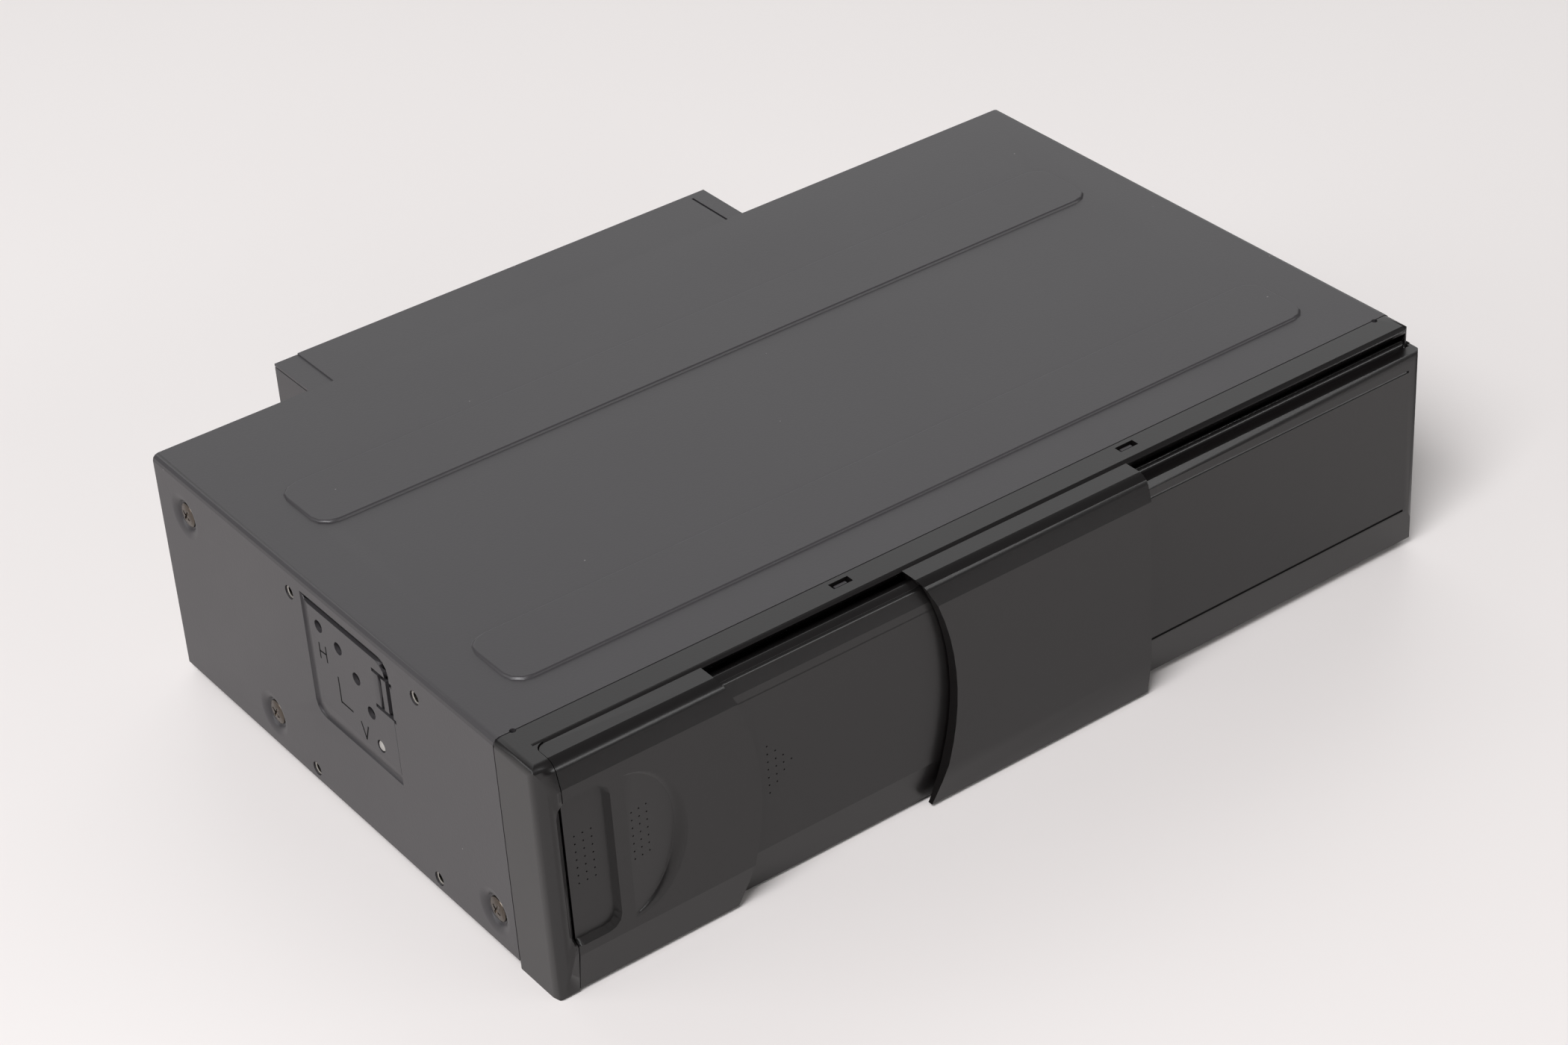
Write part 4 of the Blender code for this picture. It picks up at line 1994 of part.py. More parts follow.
clear_scene()
SATIN_PAINT = finish("satin_paint", (0.105, 0.100, 0.104), 0.45, 0.0)
BLACK_PLASTIC = finish("black_plastic", (0.042, 0.040, 0.040), 0.50, 0.0)
DARK_STEEL = finish("dark_steel", (0.06, 0.05, 0.045), 0.35, 1.0)
BRIGHT_STEEL = finish("bright_steel", (0.62, 0.61, 0.60), 0.30, 1.0)
ZINC_SHEET = finish("zinc_sheet", (0.48, 0.48, 0.47), 0.40, 1.0)
RUBBER = finish("rubber", (0.02, 0.02, 0.02), 0.80, 0.0)
MAGAZINE_PLASTIC = finish("magazine_plastic", (0.03, 0.03, 0.032), 0.40, 0.0)
TRAY_PLASTIC = finish("tray_plastic", (0.16, 0.16, 0.17), 0.50, 0.0)
DISC_MIRROR = finish("disc_mirror", (0.80, 0.80, 0.82), 0.10, 1.0)
BOARD_GREEN = finish("board_green", (0.02, 0.12, 0.05), 0.45, 0.0)
ACETAL = finish("acetal", (0.75, 0.74, 0.70), 0.50, 0.0)

DATUM = bpy.data.objects.new("datum", None)
bpy.context.scene.collection.objects.link(DATUM)
DATUM.location = (-WIDTH / 2, -DEPTH / 2, 0)

top_cover()
side_screws()
front_bezel()
right_front_panel()
grip_leaf()
middle_leaf()
centre_leaf()
for SIDE in ("left", "right"):
    angle_selector(SIDE)
base_pan()
main_board()
rear_box()
rear_box_cover()
power_socket()
data_socket()
mechanism_frame()
dampers()
magazine_case()
trays_and_discs()
tray_puller()
draw_screw()
motor_can("draw_motor", DRAW_SCREW_Y, DRAW_SCREW_Z, DRAW_MOTOR_RADIUS, DRAW_MOTOR_LENGTH)
drive_deck()
spindle_and_turntable()
pickup_sled()
rods_and_feed()
motor_can("feed_motor", FEED_SCREW_Y, ROD_Z, FEED_MOTOR_RADIUS, FEED_MOTOR_LENGTH)
clamp_arm()
clamp_disc()
cam_plate_front()
cam_plate_rear()
lift_gear()
lift_motor()
eject_button()
bpy.context.view_layer.update()
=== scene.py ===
"""A car CD changer on a pale table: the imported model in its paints, plastics and metals.

Metres, +Z up, +X to the right along the front, +Y from the front to the rear box. The file follows the
unit as it is put together: table and camera, sheet metal, magazine and drive, cover, front, rear box.
"""

import json
import math

import bpy
from mathutils import Matrix, Vector


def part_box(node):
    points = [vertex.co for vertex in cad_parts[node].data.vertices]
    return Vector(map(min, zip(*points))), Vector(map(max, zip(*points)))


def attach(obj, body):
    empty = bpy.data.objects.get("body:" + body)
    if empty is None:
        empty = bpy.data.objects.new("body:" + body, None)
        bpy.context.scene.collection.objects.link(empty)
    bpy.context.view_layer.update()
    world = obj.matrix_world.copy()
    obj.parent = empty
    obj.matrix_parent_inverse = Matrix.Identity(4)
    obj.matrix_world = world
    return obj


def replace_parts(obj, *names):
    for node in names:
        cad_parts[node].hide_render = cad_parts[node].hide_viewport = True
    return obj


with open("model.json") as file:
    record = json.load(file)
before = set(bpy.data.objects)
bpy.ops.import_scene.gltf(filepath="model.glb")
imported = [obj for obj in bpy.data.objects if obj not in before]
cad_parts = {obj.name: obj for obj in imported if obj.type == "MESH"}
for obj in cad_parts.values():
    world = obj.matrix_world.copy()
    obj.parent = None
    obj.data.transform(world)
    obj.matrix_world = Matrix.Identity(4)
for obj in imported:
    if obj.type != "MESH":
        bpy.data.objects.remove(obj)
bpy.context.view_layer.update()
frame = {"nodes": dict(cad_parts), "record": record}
NODES = frame["nodes"]

# Table, lamps and camera
# A pale, faintly glossy board under soft light from the upper left and a wide pale room. The camera
# stands in front at the left, 0.88 m away, and its lens and tilt were solved on the unit's own edges. A
# black felt cloth on the table, in front of the picture, is what the glossy front reflects.
TABLE_HEX = "#e2dedc"
ROOM_HEX = "#f3f2f2"
ROOM_STRENGTH = 0.2
CLOTH_PLACE = (0.5, -1.3, 0.002)
CLOTH_SIZE = (6.0, 1.7, 1.0)
CLOTH_FAR_EDGE = -2.14
CLOTH_UPRIGHT = 0.42
CAMERA_PLACE = (-0.41370, -0.59596, 0.50293)
CAMERA_RIGHT = (0.79843889, -0.59943403, -0.05633978)
CAMERA_DOWN = (-0.37019405, -0.41497911, -0.83111293)
CAMERA_AHEAD = (0.47481755, 0.68444954, -0.55324237)
FOCAL_PIXELS = 4833.4
PICTURE_WIDTH = 2100


def paint(hex_code):
    """A colour written as sRGB hex, in the linear values that a shader takes."""
    shares = [int(hex_code[place : place + 2], 16) / 255 for place in (1, 3, 5)]
    return [s / 12.92 if s <= 0.04045 else ((s + 0.055) / 1.055) ** 2.4 for s in shares] + [1.0]


def add(tree, kind, links=None, **settings):
    """A node with its settings; a link's value is a socket, a number or a colour."""
    node = tree.nodes.new(kind)
    for name, value in settings.items():
        setattr(node, name, value)
    for name, value in (links or {}).items():
        socket = node.inputs[name]
        if isinstance(value, bpy.types.NodeSocket):
            tree.links.new(value, socket)
        else:
            socket.default_value = value
    return node


def finish_of(name, **values):
    """A new material: its name, its node tree and its Principled shader with plain values set."""
    made = bpy.data.materials.new(name)
    made.use_nodes = True
    shader = made.node_tree.nodes["Principled BSDF"]
    for socket, value in values.items():
        shader.inputs[socket.replace("_", " ")].default_value = value
    return made, made.node_tree, shader


def alone():
    """Nothing selected, so that the next operator acts on the new piece only."""
    if bpy.context.mode != "OBJECT":
        bpy.ops.object.mode_set(mode="OBJECT")
    bpy.ops.object.select_all(action="DESELECT")


alone()
bpy.ops.mesh.primitive_grid_add(x_subdivisions=8, y_subdivisions=8, size=12)
table = bpy.context.object
table.name = "table"
card, tree, shader = finish_of("table_board", Roughness=0.42, IOR=1.38)
here = add(tree, "ShaderNodeTexCoord").outputs["Object"]
cloud = add(tree, "ShaderNodeTexNoise", {"Vector": here, "Scale": 3.0, "Detail": 2.0})
tint = add(tree, "ShaderNodeMix", {"Factor": cloud.outputs["Fac"]}, data_type="RGBA")
tint.inputs[6].default_value = paint(TABLE_HEX)
tint.inputs[7].default_value = paint("#ded9d7")
tree.links.new(tint.outputs[2], shader.inputs["Base Color"])
table.data.materials.append(card)

alone()
bpy.ops.mesh.primitive_grid_add(x_subdivisions=6, y_subdivisions=4, size=1, location=CLOTH_PLACE)
cloth = bpy.context.object
cloth.name = "dark_cloth_before_the_table"
cloth.scale = CLOTH_SIZE
bpy.ops.object.transform_apply(location=True, rotation=True, scale=True)
bpy.ops.object.mode_set(mode="EDIT")
bpy.ops.mesh.select_mode(type="EDGE")
bpy.ops.mesh.select_all(action="DESELECT")
bpy.ops.object.mode_set(mode="OBJECT")
for edge in cloth.data.edges:
    edge.select = all(cloth.data.vertices[index].co.y < CLOTH_FAR_EDGE for index in edge.vertices)
bpy.ops.object.mode_set(mode="EDIT")
bpy.ops.mesh.extrude_edges_move(TRANSFORM_OT_translate={"value": (0, 0, CLOTH_UPRIGHT)})
bpy.ops.object.mode_set(mode="OBJECT")
felt, tree, shader = finish_of("black_felt", Roughness=0.95)
weave = add(tree, "ShaderNodeTexNoise", {"Scale": 900.0, "Detail": 2.0})
nap = add(tree, "ShaderNodeMix", {"Factor": weave.outputs["Fac"]}, data_type="RGBA")
nap.inputs[6].default_value = paint("#050505")
nap.inputs[7].default_value = paint("#0c0c0c")
tree.links.new(nap.outputs[2], shader.inputs["Base Color"])
tree.links.new(add(tree, "ShaderNodeTexCoord").outputs["Object"], weave.inputs["Vector"])
cloth.data.materials.append(felt)

room = bpy.data.worlds.new("room")
bpy.context.scene.world = room
room.use_nodes = True
walls = room.node_tree.nodes["Background"]
walls.inputs["Color"].default_value = paint(ROOM_HEX)
walls.inputs["Strength"].default_value = ROOM_STRENGTH

for name, place, aim, width, height, power, tint in (
    ("soft_box_above", (-1.5, -0.9, 2.2), (0, 0, 0), 1.3, 1.3, 82, "#fdfdff"),
    ("soft_box_front", (1.15, -2.0, 0.84), (0, 0, 0), 2.2, 0.44, 15, "#ffffff"),
    ("window_at_left", (-2.2, 0.9, 1.0), (0, 0, 0), 1.6, 1.2, 13, "#ffffff"),
    ("sweep_behind", (1.3, 2.6, 1.5), (0, 0, 0.2), 5.0, 2.6, 38, "#ffffff"),
):
    alone()
    bpy.ops.object.light_add(type="AREA", location=place)
    lamp = bpy.context.object
    lamp.name = name
    lamp.data.shape = "RECTANGLE"
    lamp.data.size = width
    lamp.data.size_y = height
    lamp.data.energy = power
    lamp.data.color = paint(tint)[:3]
    lamp.visible_camera = False
    lamp.rotation_euler = (Vector(aim) - Vector(place)).to_track_quat("-Z", "Y").to_euler()

alone()
bpy.ops.object.camera_add(location=CAMERA_PLACE)
camera = bpy.context.object
camera_up = [-value for value in CAMERA_DOWN]
camera_back = [-value for value in CAMERA_AHEAD]
axes = Matrix((CAMERA_RIGHT, camera_up, camera_back)).transposed()
camera.matrix_world = Matrix.Translation(CAMERA_PLACE) @ axes.to_4x4()
camera.data.sensor_width = 36
camera.data.lens = FOCAL_PIXELS / PICTURE_WIDTH * camera.data.sensor_width
camera.data.clip_start = 0.01
camera.data.clip_end = 20
bpy.context.scene.camera = camera
bpy.context.scene.view_settings.view_transform = "Standard"


# Base pan, mechanism frame and drive deck
# Folded zinc-plated steel sheet. The plating leaves broad spangles, each with a tone and gloss of its
# own, over a faint grain from the rolling mill.
def grain(tree, along, fine, long):
    """A fine streaked noise on a brushed or rolled sheet, stretched along one axis."""
    here = add(tree, "ShaderNodeTexCoord").outputs["Object"]
    scale = [1 / long if axis == along else 1 / fine for axis in "XYZ"]
    stretched = add(tree, "ShaderNodeMapping", {"Vector": here, "Scale": scale})
    streaks = {"Vector": stretched.outputs["Vector"], "Scale": 1.0, "Detail": 3.0}
    return add(tree, "ShaderNodeTexNoise", streaks)


def blend(tree, factor, first, second):
    """A colour between two, by a factor socket."""
    mix = add(tree, "ShaderNodeMix", {"Factor": factor}, data_type="RGBA")
    for index, colour in ((6, first), (7, second)):
        if isinstance(colour, bpy.types.NodeSocket):
            tree.links.new(colour, mix.inputs[index])
        else:
            mix.inputs[index].default_value = paint(colour)
    return mix.outputs[2]


def spread(tree, factor, low, high):
    """A factor from 0 to 1 mapped to the range from low to high."""
    made = add(tree, "ShaderNodeMapRange", {"Value": factor, "To Min": low, "To Max": high})
    return made.outputs["Result"]


def rough_up(tree, shader, height, distance, strength):
    """A bump of the given depth in metres."""
    bump = add(tree, "ShaderNodeBump", {"Height": height, "Distance": distance, "Strength": strength})
    tree.links.new(bump.outputs["Normal"], shader.inputs["Normal"])


def plated_sheet():
    """Zinc plating: cool pale grey, with crystals that change tone from one to the next."""
    made, tree, shader = finish_of("zinc_plated_sheet", Metallic=1.0)
    here = add(tree, "ShaderNodeTexCoord").outputs["Object"]
    spangle = add(tree, "ShaderNodeTexVoronoi", {"Vector": here, "Scale": 90.0})
    tone = spread(tree, spangle.outputs["Color"], 0.0, 1.0)
    streaks = grain(tree, "X", 0.0004, 0.02)
    crystals = blend(tree, tone, "#a8a8a4", "#bdbdb9")
    tree.links.new(blend(tree, streaks.outputs["Fac"], crystals, "#c4c4c0"), shader.inputs["Base Color"])
    tree.links.new(spread(tree, tone, 0.34, 0.46), shader.inputs["Roughness"])
    rough_up(tree, shader, streaks.outputs["Fac"], 0.00002, 0.4)
    return made


def give(material, *names):
    """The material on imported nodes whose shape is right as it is."""
    for name in names:
        mesh = NODES[name].data
        mesh.materials.clear()
        mesh.materials.append(material)


PLATED = plated_sheet()
give(PLATED, "base_pan", "mechanism_frame", "drive_deck")


# Main board
# Glass-fibre board under green solder lacquer, with black moulded chips. Copper tracks show through the
# lacquer as a slightly paler pattern.
def circuit_board():
    """Green lacquer over tracks, and black above the board's own face, where the chips stand."""
    made, tree, shader = finish_of("lacquered_circuit_board", Roughness=0.28)
    here = add(tree, "ShaderNodeTexCoord").outputs["Object"]
    grid = {"Vector": here, "Scale": 260.0, "Randomness": 0.35}
    tracks = add(tree, "ShaderNodeTexVoronoi", grid, distance="MANHATTAN")
    edges = add(tree, "ShaderNodeMath", {0: tracks.outputs["Distance"], 1: 0.42}, operation="GREATER_THAN")
    lacquer = blend(tree, edges.outputs["Value"], "#0f5a2c", "#2c7d45")
    place = add(tree, "ShaderNodeSeparateXYZ", {"Vector": here})
    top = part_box("main_board")[1].z
    chip = add(tree, "ShaderNodeMath", {0: place.outputs["Z"], 1: top - 0.0012}, operation="GREATER_THAN")
    tree.links.new(blend(tree, chip.outputs["Value"], lacquer, "#1b1b1c"), shader.inputs["Base Color"])
    return made


give(circuit_board(), "main_board")


# Dampers
# Moulded nitrile rubber between the pan and the frame, left dull, with a faint cloudy bloom of talc.
def nitrile():
    """Dull near-black rubber with a paler bloom."""
    made, tree, shader = finish_of("nitrile_rubber", Roughness=0.82, IOR=1.52)
    here = add(tree, "ShaderNodeTexCoord").outputs["Object"]
    bloom = add(tree, "ShaderNodeTexNoise", {"Vector": here, "Scale": 500.0, "Detail": 4.0})
    tree.links.new(blend(tree, bloom.outputs["Fac"], "#19191a", "#2e2e2f"), shader.inputs["Base Color"])
    rough_up(tree, shader, bloom.outputs["Fac"], 0.00003, 0.5)
    return made


give(nitrile(), "damper_front_left", "damper_rear_left", "damper_front_right", "damper_rear_right")


# Magazine and its trays
# The case is black ABS with a spark-eroded grain; the trays are grey polystyrene, a little glossier and
# faintly cloudy. The puller, clamp and gear are milky acetal.
def moulded(name, dark, light, low, high, size, depth, strength=0.5, bend=1.5):
    """A moulded plastic: colour and gloss drift a little, over a grain of the given size and depth."""
    made, tree, shader = finish_of(name, IOR=bend)
    here = add(tree, "ShaderNodeTexCoord").outputs["Object"]
    drift = add(tree, "ShaderNodeTexNoise", {"Vector": here, "Scale": 35.0, "Detail": 3.0})
    pits = add(tree, "ShaderNodeTexNoise", {"Vector": here, "Scale": 1 / size, "Detail": 2.0})
    tree.links.new(blend(tree, drift.outputs["Fac"], dark, light), shader.inputs["Base Color"])
    tree.links.new(spread(tree, drift.outputs["Fac"], low, high), shader.inputs["Roughness"])
    rough_up(tree, shader, pits.outputs["Fac"], depth, strength)
    return made


CASE_ABS = moulded("spark_eroded_black_abs", "#1e1e1f", "#2b2b2c", 0.36, 0.5, 0.0003, 0.00002)
TRAY_ABS = moulded("grey_polystyrene", "#6b6b6e", "#77777b", 0.3, 0.4, 0.0006, 0.00001)
ACETAL = moulded("natural_acetal", "#dedbd2", "#e8e5dd", 0.34, 0.44, 0.0008, 0.00001)
give(CASE_ABS, "magazine_case")
give(TRAY_ABS, "tray_1", "tray_2", "tray_3", "tray_4", "tray_5", "tray_6")
give(ACETAL, "tray_puller", "clamp_arm", "clamp_disc", "lift_gear")


# Discs
# Polycarbonate pressed with fine tracks and mirrored with aluminium from 22 mm outwards; the hub ring
# stays clear and looks paler and duller.
def mirrored_disc():
    """A mirror with fine rings round its middle, under a clear coat, and a duller hub."""
    lacquered = {"Coat_Weight": 0.6, "Coat_Roughness": 0.03}
    made, tree, shader = finish_of("aluminium_mirrored_polycarbonate", Metallic=1.0, **lacquered)
    low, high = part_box("disc_1")
    middle = (low + high) / 2
    here = add(tree, "ShaderNodeTexCoord").outputs["Object"]
    flat = {"Vector": here, "Location": (-middle.x, -middle.y, 0), "Scale": (1, 1, 0)}
    centred = add(tree, "ShaderNodeMapping", flat)
    radius = add(tree, "ShaderNodeVectorMath", {0: centred.outputs["Vector"]}, operation="LENGTH")
    rings = add(tree, "ShaderNodeMath", {0: radius.outputs["Value"], 1: 5200.0}, operation="MULTIPLY")
    wave = add(tree, "ShaderNodeMath", {0: rings.outputs["Value"]}, operation="SINE")
    hub = add(tree, "ShaderNodeMath", {0: radius.outputs["Value"], 1: 0.022}, operation="LESS_THAN")
    tone = blend(tree, spread(tree, wave.outputs["Value"], 0.3, 0.7), "#c9cbd2", "#dcdde2")
    tree.links.new(blend(tree, hub.outputs["Value"], tone, "#b9bcc2"), shader.inputs["Base Color"])
    tree.links.new(spread(tree, hub.outputs["Value"], 0.14, 0.3), shader.inputs["Roughness"])
    return made


give(mirrored_disc(), "disc_1", "disc_2", "disc_3", "disc_4", "disc_5", "disc_6")


# Steel of the drive and the lift
# Drawn and stamped steel: rods, screws, motor cans, cam plates and the angle selectors. Fine streaks
# run the way each was drawn. The turntable and the sled are black polycarbonate.
def drawn_steel(name, along, dark, light, low, high):
    """Bright metal with fine streaks of tone and gloss along one axis."""
    made, tree, shader = finish_of(name, Metallic=1.0)
    streaks = grain(tree, along, 0.00025, 0.012)
    tree.links.new(blend(tree, streaks.outputs["Fac"], dark, light), shader.inputs["Base Color"])
    tree.links.new(spread(tree, streaks.outputs["Fac"], low, high), shader.inputs["Roughness"])
    rough_up(tree, shader, streaks.outputs["Fac"], 0.00001, 0.4)
    return made


DRAWN = drawn_steel("drawn_bright_steel", "X", "#b3b2ae", "#cfcecb", 0.2, 0.34)
STAMPED = drawn_steel("stamped_bright_steel", "Z", "#b0afab", "#c9c8c4", 0.26, 0.4)
give(DRAWN, "draw_screw", "feed_screw", "guide_rod_front", "guide_rod_rear", "draw_motor", "feed_motor")
give(STAMPED, "cam_plate_front", "cam_plate_rear", "lift_motor", "spindle_motor")
give(STAMPED, "angle_selector_left", "angle_selector_right")
TURNTABLE_ABS = moulded("black_polycarbonate", "#18181a", "#202022", 0.28, 0.38, 0.0005, 0.00001)
give(TURNTABLE_ABS, "turntable", "pickup_sled")


# Top cover
# One folded steel sheet with two pressed ribs, powder coated black with a satin sheen. The coat has a
# fine orange peel, the sheet is very slightly wavy, and a few pale specks of dust lie on it.
MM = 0.001
HALF_WIDTH = 0.1275
HALF_DEPTH = 0.0901
SHEET_TOP = 0.0611
RIB_TOP = 0.0617
SCREW_PLACES = ((0.0249, 0.0105), (0.1185, 0.0105), (0.1492, 0.0500))
MOUNT_HOLES = ((0.0480, 0.0050), (0.1003, 0.0050), (0.0480, 0.0542), (0.1003, 0.0542))


def at(x, y, z):
    """A place measured from the unit's left front foot, in the scene's own metres."""
    return Vector((x - HALF_WIDTH, y - HALF_DEPTH, z))


def own(made):
    """The piece alone chosen, and active."""
    alone()
    made.select_set(True)
    bpy.context.view_layer.objects.active = made
    return made


def refined(node):
    """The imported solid's own shape as a clean mesh with its doubles merged."""
    piece = bpy.data.objects.new(f"{node}_shell", NODES[node].data.copy())
    bpy.context.scene.collection.objects.link(piece)
    own(piece)
    bpy.ops.object.mode_set(mode="EDIT")
    bpy.ops.mesh.select_all(action="SELECT")
    bpy.ops.mesh.remove_doubles(threshold=0.000002)
    bpy.ops.object.mode_set(mode="OBJECT")
    return piece


def pick(piece, test, kind="EDGE"):
    """Edges or faces whose every corner passes the test, chosen in edit mode for the next operator."""
    own(piece)
    bpy.context.tool_settings.mesh_select_mode = (False, kind == "EDGE", kind == "FACE")
    mesh = piece.data
    for part in (*mesh.vertices, *mesh.edges, *mesh.polygons):
        part.select = False
    passed = [test(vertex.co) for vertex in mesh.vertices]
    for part in mesh.edges if kind == "EDGE" else mesh.polygons:
        part.select = all(passed[index] for index in part.vertices)
    bpy.ops.object.mode_set(mode="EDIT")


def flatten(piece, test):
    """Triangles of the flats that pass the test, joined into whole faces."""
    pick(piece, test, "FACE")
    bpy.ops.mesh.dissolve_limited(angle_limit=math.radians(0.3))
    bpy.ops.object.mode_set(mode="OBJECT")


def soften(piece, test, width, steps=3):
    """The chosen edges rounded by the given width."""
    pick(piece, test)
    bpy.ops.mesh.bevel(offset=width, segments=steps, affect="EDGES", clamp_overlap=True)
    bpy.ops.object.mode_set(mode="OBJECT")


def crease(piece, test):
    """The chosen edges kept sharp under the smooth shading."""
    pick(piece, test)
    bpy.ops.mesh.mark_sharp()
    bpy.ops.object.mode_set(mode="OBJECT")


def smooth(piece, angle=32, keep=None):
    """Rounds shaded smooth, flats kept flat."""
    own(piece)
    bpy.ops.object.shade_smooth_by_angle(angle=math.radians(angle))
    if keep:
        crease(piece, keep)
    own(piece)
    weigh = piece.modifiers.new("weighted", "WEIGHTED_NORMAL")
    weigh.keep_sharp = True
    weigh.weight = 95
    weigh.thresh = 0.00003
    bpy.ops.object.modifier_apply(modifier=weigh.name)
    return piece


def coloured(piece, material):
    """The piece in one material."""
    piece.data.materials.clear()
    piece.data.materials.append(material)
    return piece


def goes_with(piece, node):
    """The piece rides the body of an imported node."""
    record = frame["record"]
    body = next(name for name, members in record["behaviour"]["bodies"].items() if node in members)
    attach(piece, body)
    return piece


def stands_for(piece, node):
    """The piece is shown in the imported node's place."""
    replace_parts(goes_with(piece, node), node)
    return piece


def in_one(made):
    """Several meshes joined to one."""
    own(made[0])
    for piece in made:
        piece.select_set(True)
    bpy.ops.object.join()
    return bpy.context.object


def turned(profile, axis, place, steps=32):
    """A profile of (along, radius) points spun round an axis through the place."""
    alone()
    bpy.ops.mesh.primitive_plane_add(size=0.001, location=(0, 0, 0))
    made = bpy.context.object
    bpy.ops.object.mode_set(mode="EDIT")
    bpy.ops.mesh.select_mode(type="VERT")
    bpy.ops.mesh.select_all(action="SELECT")
    bpy.ops.mesh.merge(type="CENTER")
    bpy.ops.mesh.select_all(action="SELECT")
    bpy.ops.transform.translate(value=(profile[0][1], 0, profile[0][0]))
    for (along, radius), (further, wider) in zip(profile, profile[1:]):
        step = (wider - radius, 0, further - along)
        bpy.ops.mesh.extrude_region_move(TRANSFORM_OT_translate={"value": step})
    bpy.ops.mesh.select_all(action="SELECT")
    bpy.ops.mesh.spin(steps=steps, angle=2 * math.pi, center=(0, 0, 0), axis=(0, 0, 1))
    bpy.ops.mesh.select_all(action="SELECT")
    bpy.ops.mesh.remove_doubles(threshold=0.000002)
    bpy.ops.mesh.normals_make_consistent(inside=False)
    bpy.ops.object.mode_set(mode="OBJECT")
    made.rotation_euler = {"X": (0, math.pi / 2, 0), "Y": (-math.pi / 2, 0, 0), "Z": (0, 0, 0)}[axis]
    made.location = place
    bpy.ops.object.transform_apply(location=True, rotation=True, scale=True)
    return made


def copied(made, shift):
    """The same piece again with its own mesh, moved by the shift."""
    own(made)
    bpy.ops.object.duplicate()
    again = bpy.context.object
    again.location = shift
    bpy.ops.object.transform_apply(location=True, rotation=True, scale=True)
    return again


def row_of(first, start, places):
    """The first piece, which stands at the start, and a copy of it at each further (y, z) place."""
    row = [first]
    for y, z in places:
        row.append(copied(first, (0, y - start[0], z - start[1])))
    return row


def drill(radius, length, axis, place, steps):
    """A plain round drill that starts at the place."""
    return turned(((0, 0), (0, radius), (length, radius), (length, 0)), axis, place, steps)


def mirrored(made):
    """The same piece on the unit's other side, its faces turned outward again."""
    own(made)
    bpy.ops.object.duplicate()
    again = bpy.context.object
    again.scale = (-1, 1, 1)
    bpy.ops.object.transform_apply(location=True, rotation=True, scale=True)
    bpy.ops.object.mode_set(mode="EDIT")
    bpy.ops.mesh.select_all(action="SELECT")
    bpy.ops.mesh.normals_make_consistent(inside=False)
    bpy.ops.object.mode_set(mode="OBJECT")
    return again


def combined(piece, tool, operation):
    """The piece worked with the tool's shape, by the exact boolean."""
    own(piece)
    worked = piece.modifiers.new("worked", "BOOLEAN")
    worked.operation = operation
    worked.solver = "EXACT"
    worked.object = tool
    bpy.ops.object.modifier_apply(modifier=worked.name)
    bpy.data.objects.remove(tool)


def cut(piece, tool):
    """The tool's shape taken out of the piece."""
    combined(piece, tool, "DIFFERENCE")


def block(place, size, turn=(0, 0, 0)):
    """A plain block: a cutting tool, or the start of a piece."""
    alone()
    bpy.ops.mesh.primitive_cube_add(size=1, location=place, rotation=turn)
    made = bpy.context.object
    made.scale = size
    bpy.ops.object.transform_apply(location=True, rotation=True, scale=True)
    return made


def powder_coat(name, dark, light, low, high):
    """A satin black coat: fine orange peel, a slight wave of the sheet, and a few pale specks of dust."""
    made, tree, shader = finish_of(name, IOR=1.5)
    here = add(tree, "ShaderNodeTexCoord").outputs["Object"]
    peel = add(tree, "ShaderNodeTexNoise", {"Vector": here, "Scale": 1 / 0.0006, "Detail": 2.0})
    wave = add(tree, "ShaderNodeTexNoise", {"Vector": here, "Scale": 14.0, "Detail": 1.0})
    drift = add(tree, "ShaderNodeTexNoise", {"Vector": here, "Scale": 22.0, "Detail": 4.0})
    dust = add(tree, "ShaderNodeTexVoronoi", {"Vector": here, "Scale": 90.0})
    speck = add(tree, "ShaderNodeMath", {0: dust.outputs["Distance"], 1: 0.016}, operation="LESS_THAN")
    coat = blend(tree, drift.outputs["Fac"], dark, light)
    tree.links.new(blend(tree, speck.outputs["Value"], coat, "#7d7a7a"), shader.inputs["Base Color"])
    tree.links.new(spread(tree, drift.outputs["Fac"], low, high), shader.inputs["Roughness"])
    skin = {"Height": peel.outputs["Fac"], "Distance": 0.00003, "Strength": 0.6}
    fine = add(tree, "ShaderNodeBump", skin)
    sheet = {"Height": wave.outputs["Fac"], "Distance": 0.0004, "Strength": 0.3}
    broad = add(tree, "ShaderNodeBump", {**sheet, "Normal": fine.outputs["Normal"]})
    tree.links.new(broad.outputs["Normal"], shader.inputs["Normal"])
    return made


def on_rib(place, low, high):
    """Whether a corner lies on the front rib's outline or at the back of the rear one, in a height."""
    level = low < place.z < high
    return level and abs(place.x) < 0.1140 and (-0.0613 < place.y < -0.0405 or 0.0362 < place.y < 0.0572)


COAT = powder_coat("satin_black_powder_coat", "#312f31", "#373537", 0.36, 0.46)
RIB_FRONTS = (0.0289, 0.1079)
RIB_SIZE = (0.2274, 0.0205)
RIB_RUN = 0.00035
RIB_UPPER_ROUND = 0.00029
RIB_FOOT_ROUND = 0.00026
cover = refined("top_cover")
flatten(cover, lambda place: place.z > SHEET_TOP - 0.00002)
shares = [(size - 2 * RIB_RUN) / size for size in RIB_SIZE]
for front in RIB_FRONTS:
    pick(
        cover,
        lambda place: place.z > RIB_TOP - 0.00002 and 0 < place.y + HALF_DEPTH - front + 0.001 < 0.0225,
        "FACE",
    )
    rib_centre = (0, front + RIB_SIZE[1] / 2 - HALF_DEPTH, RIB_TOP)
    bpy.ops.transform.resize(value=(*shares, 1), center_override=rib_centre)
    bpy.ops.object.mode_set(mode="OBJECT")
soften(cover, lambda place: place.z > RIB_TOP - 0.00002, RIB_UPPER_ROUND)
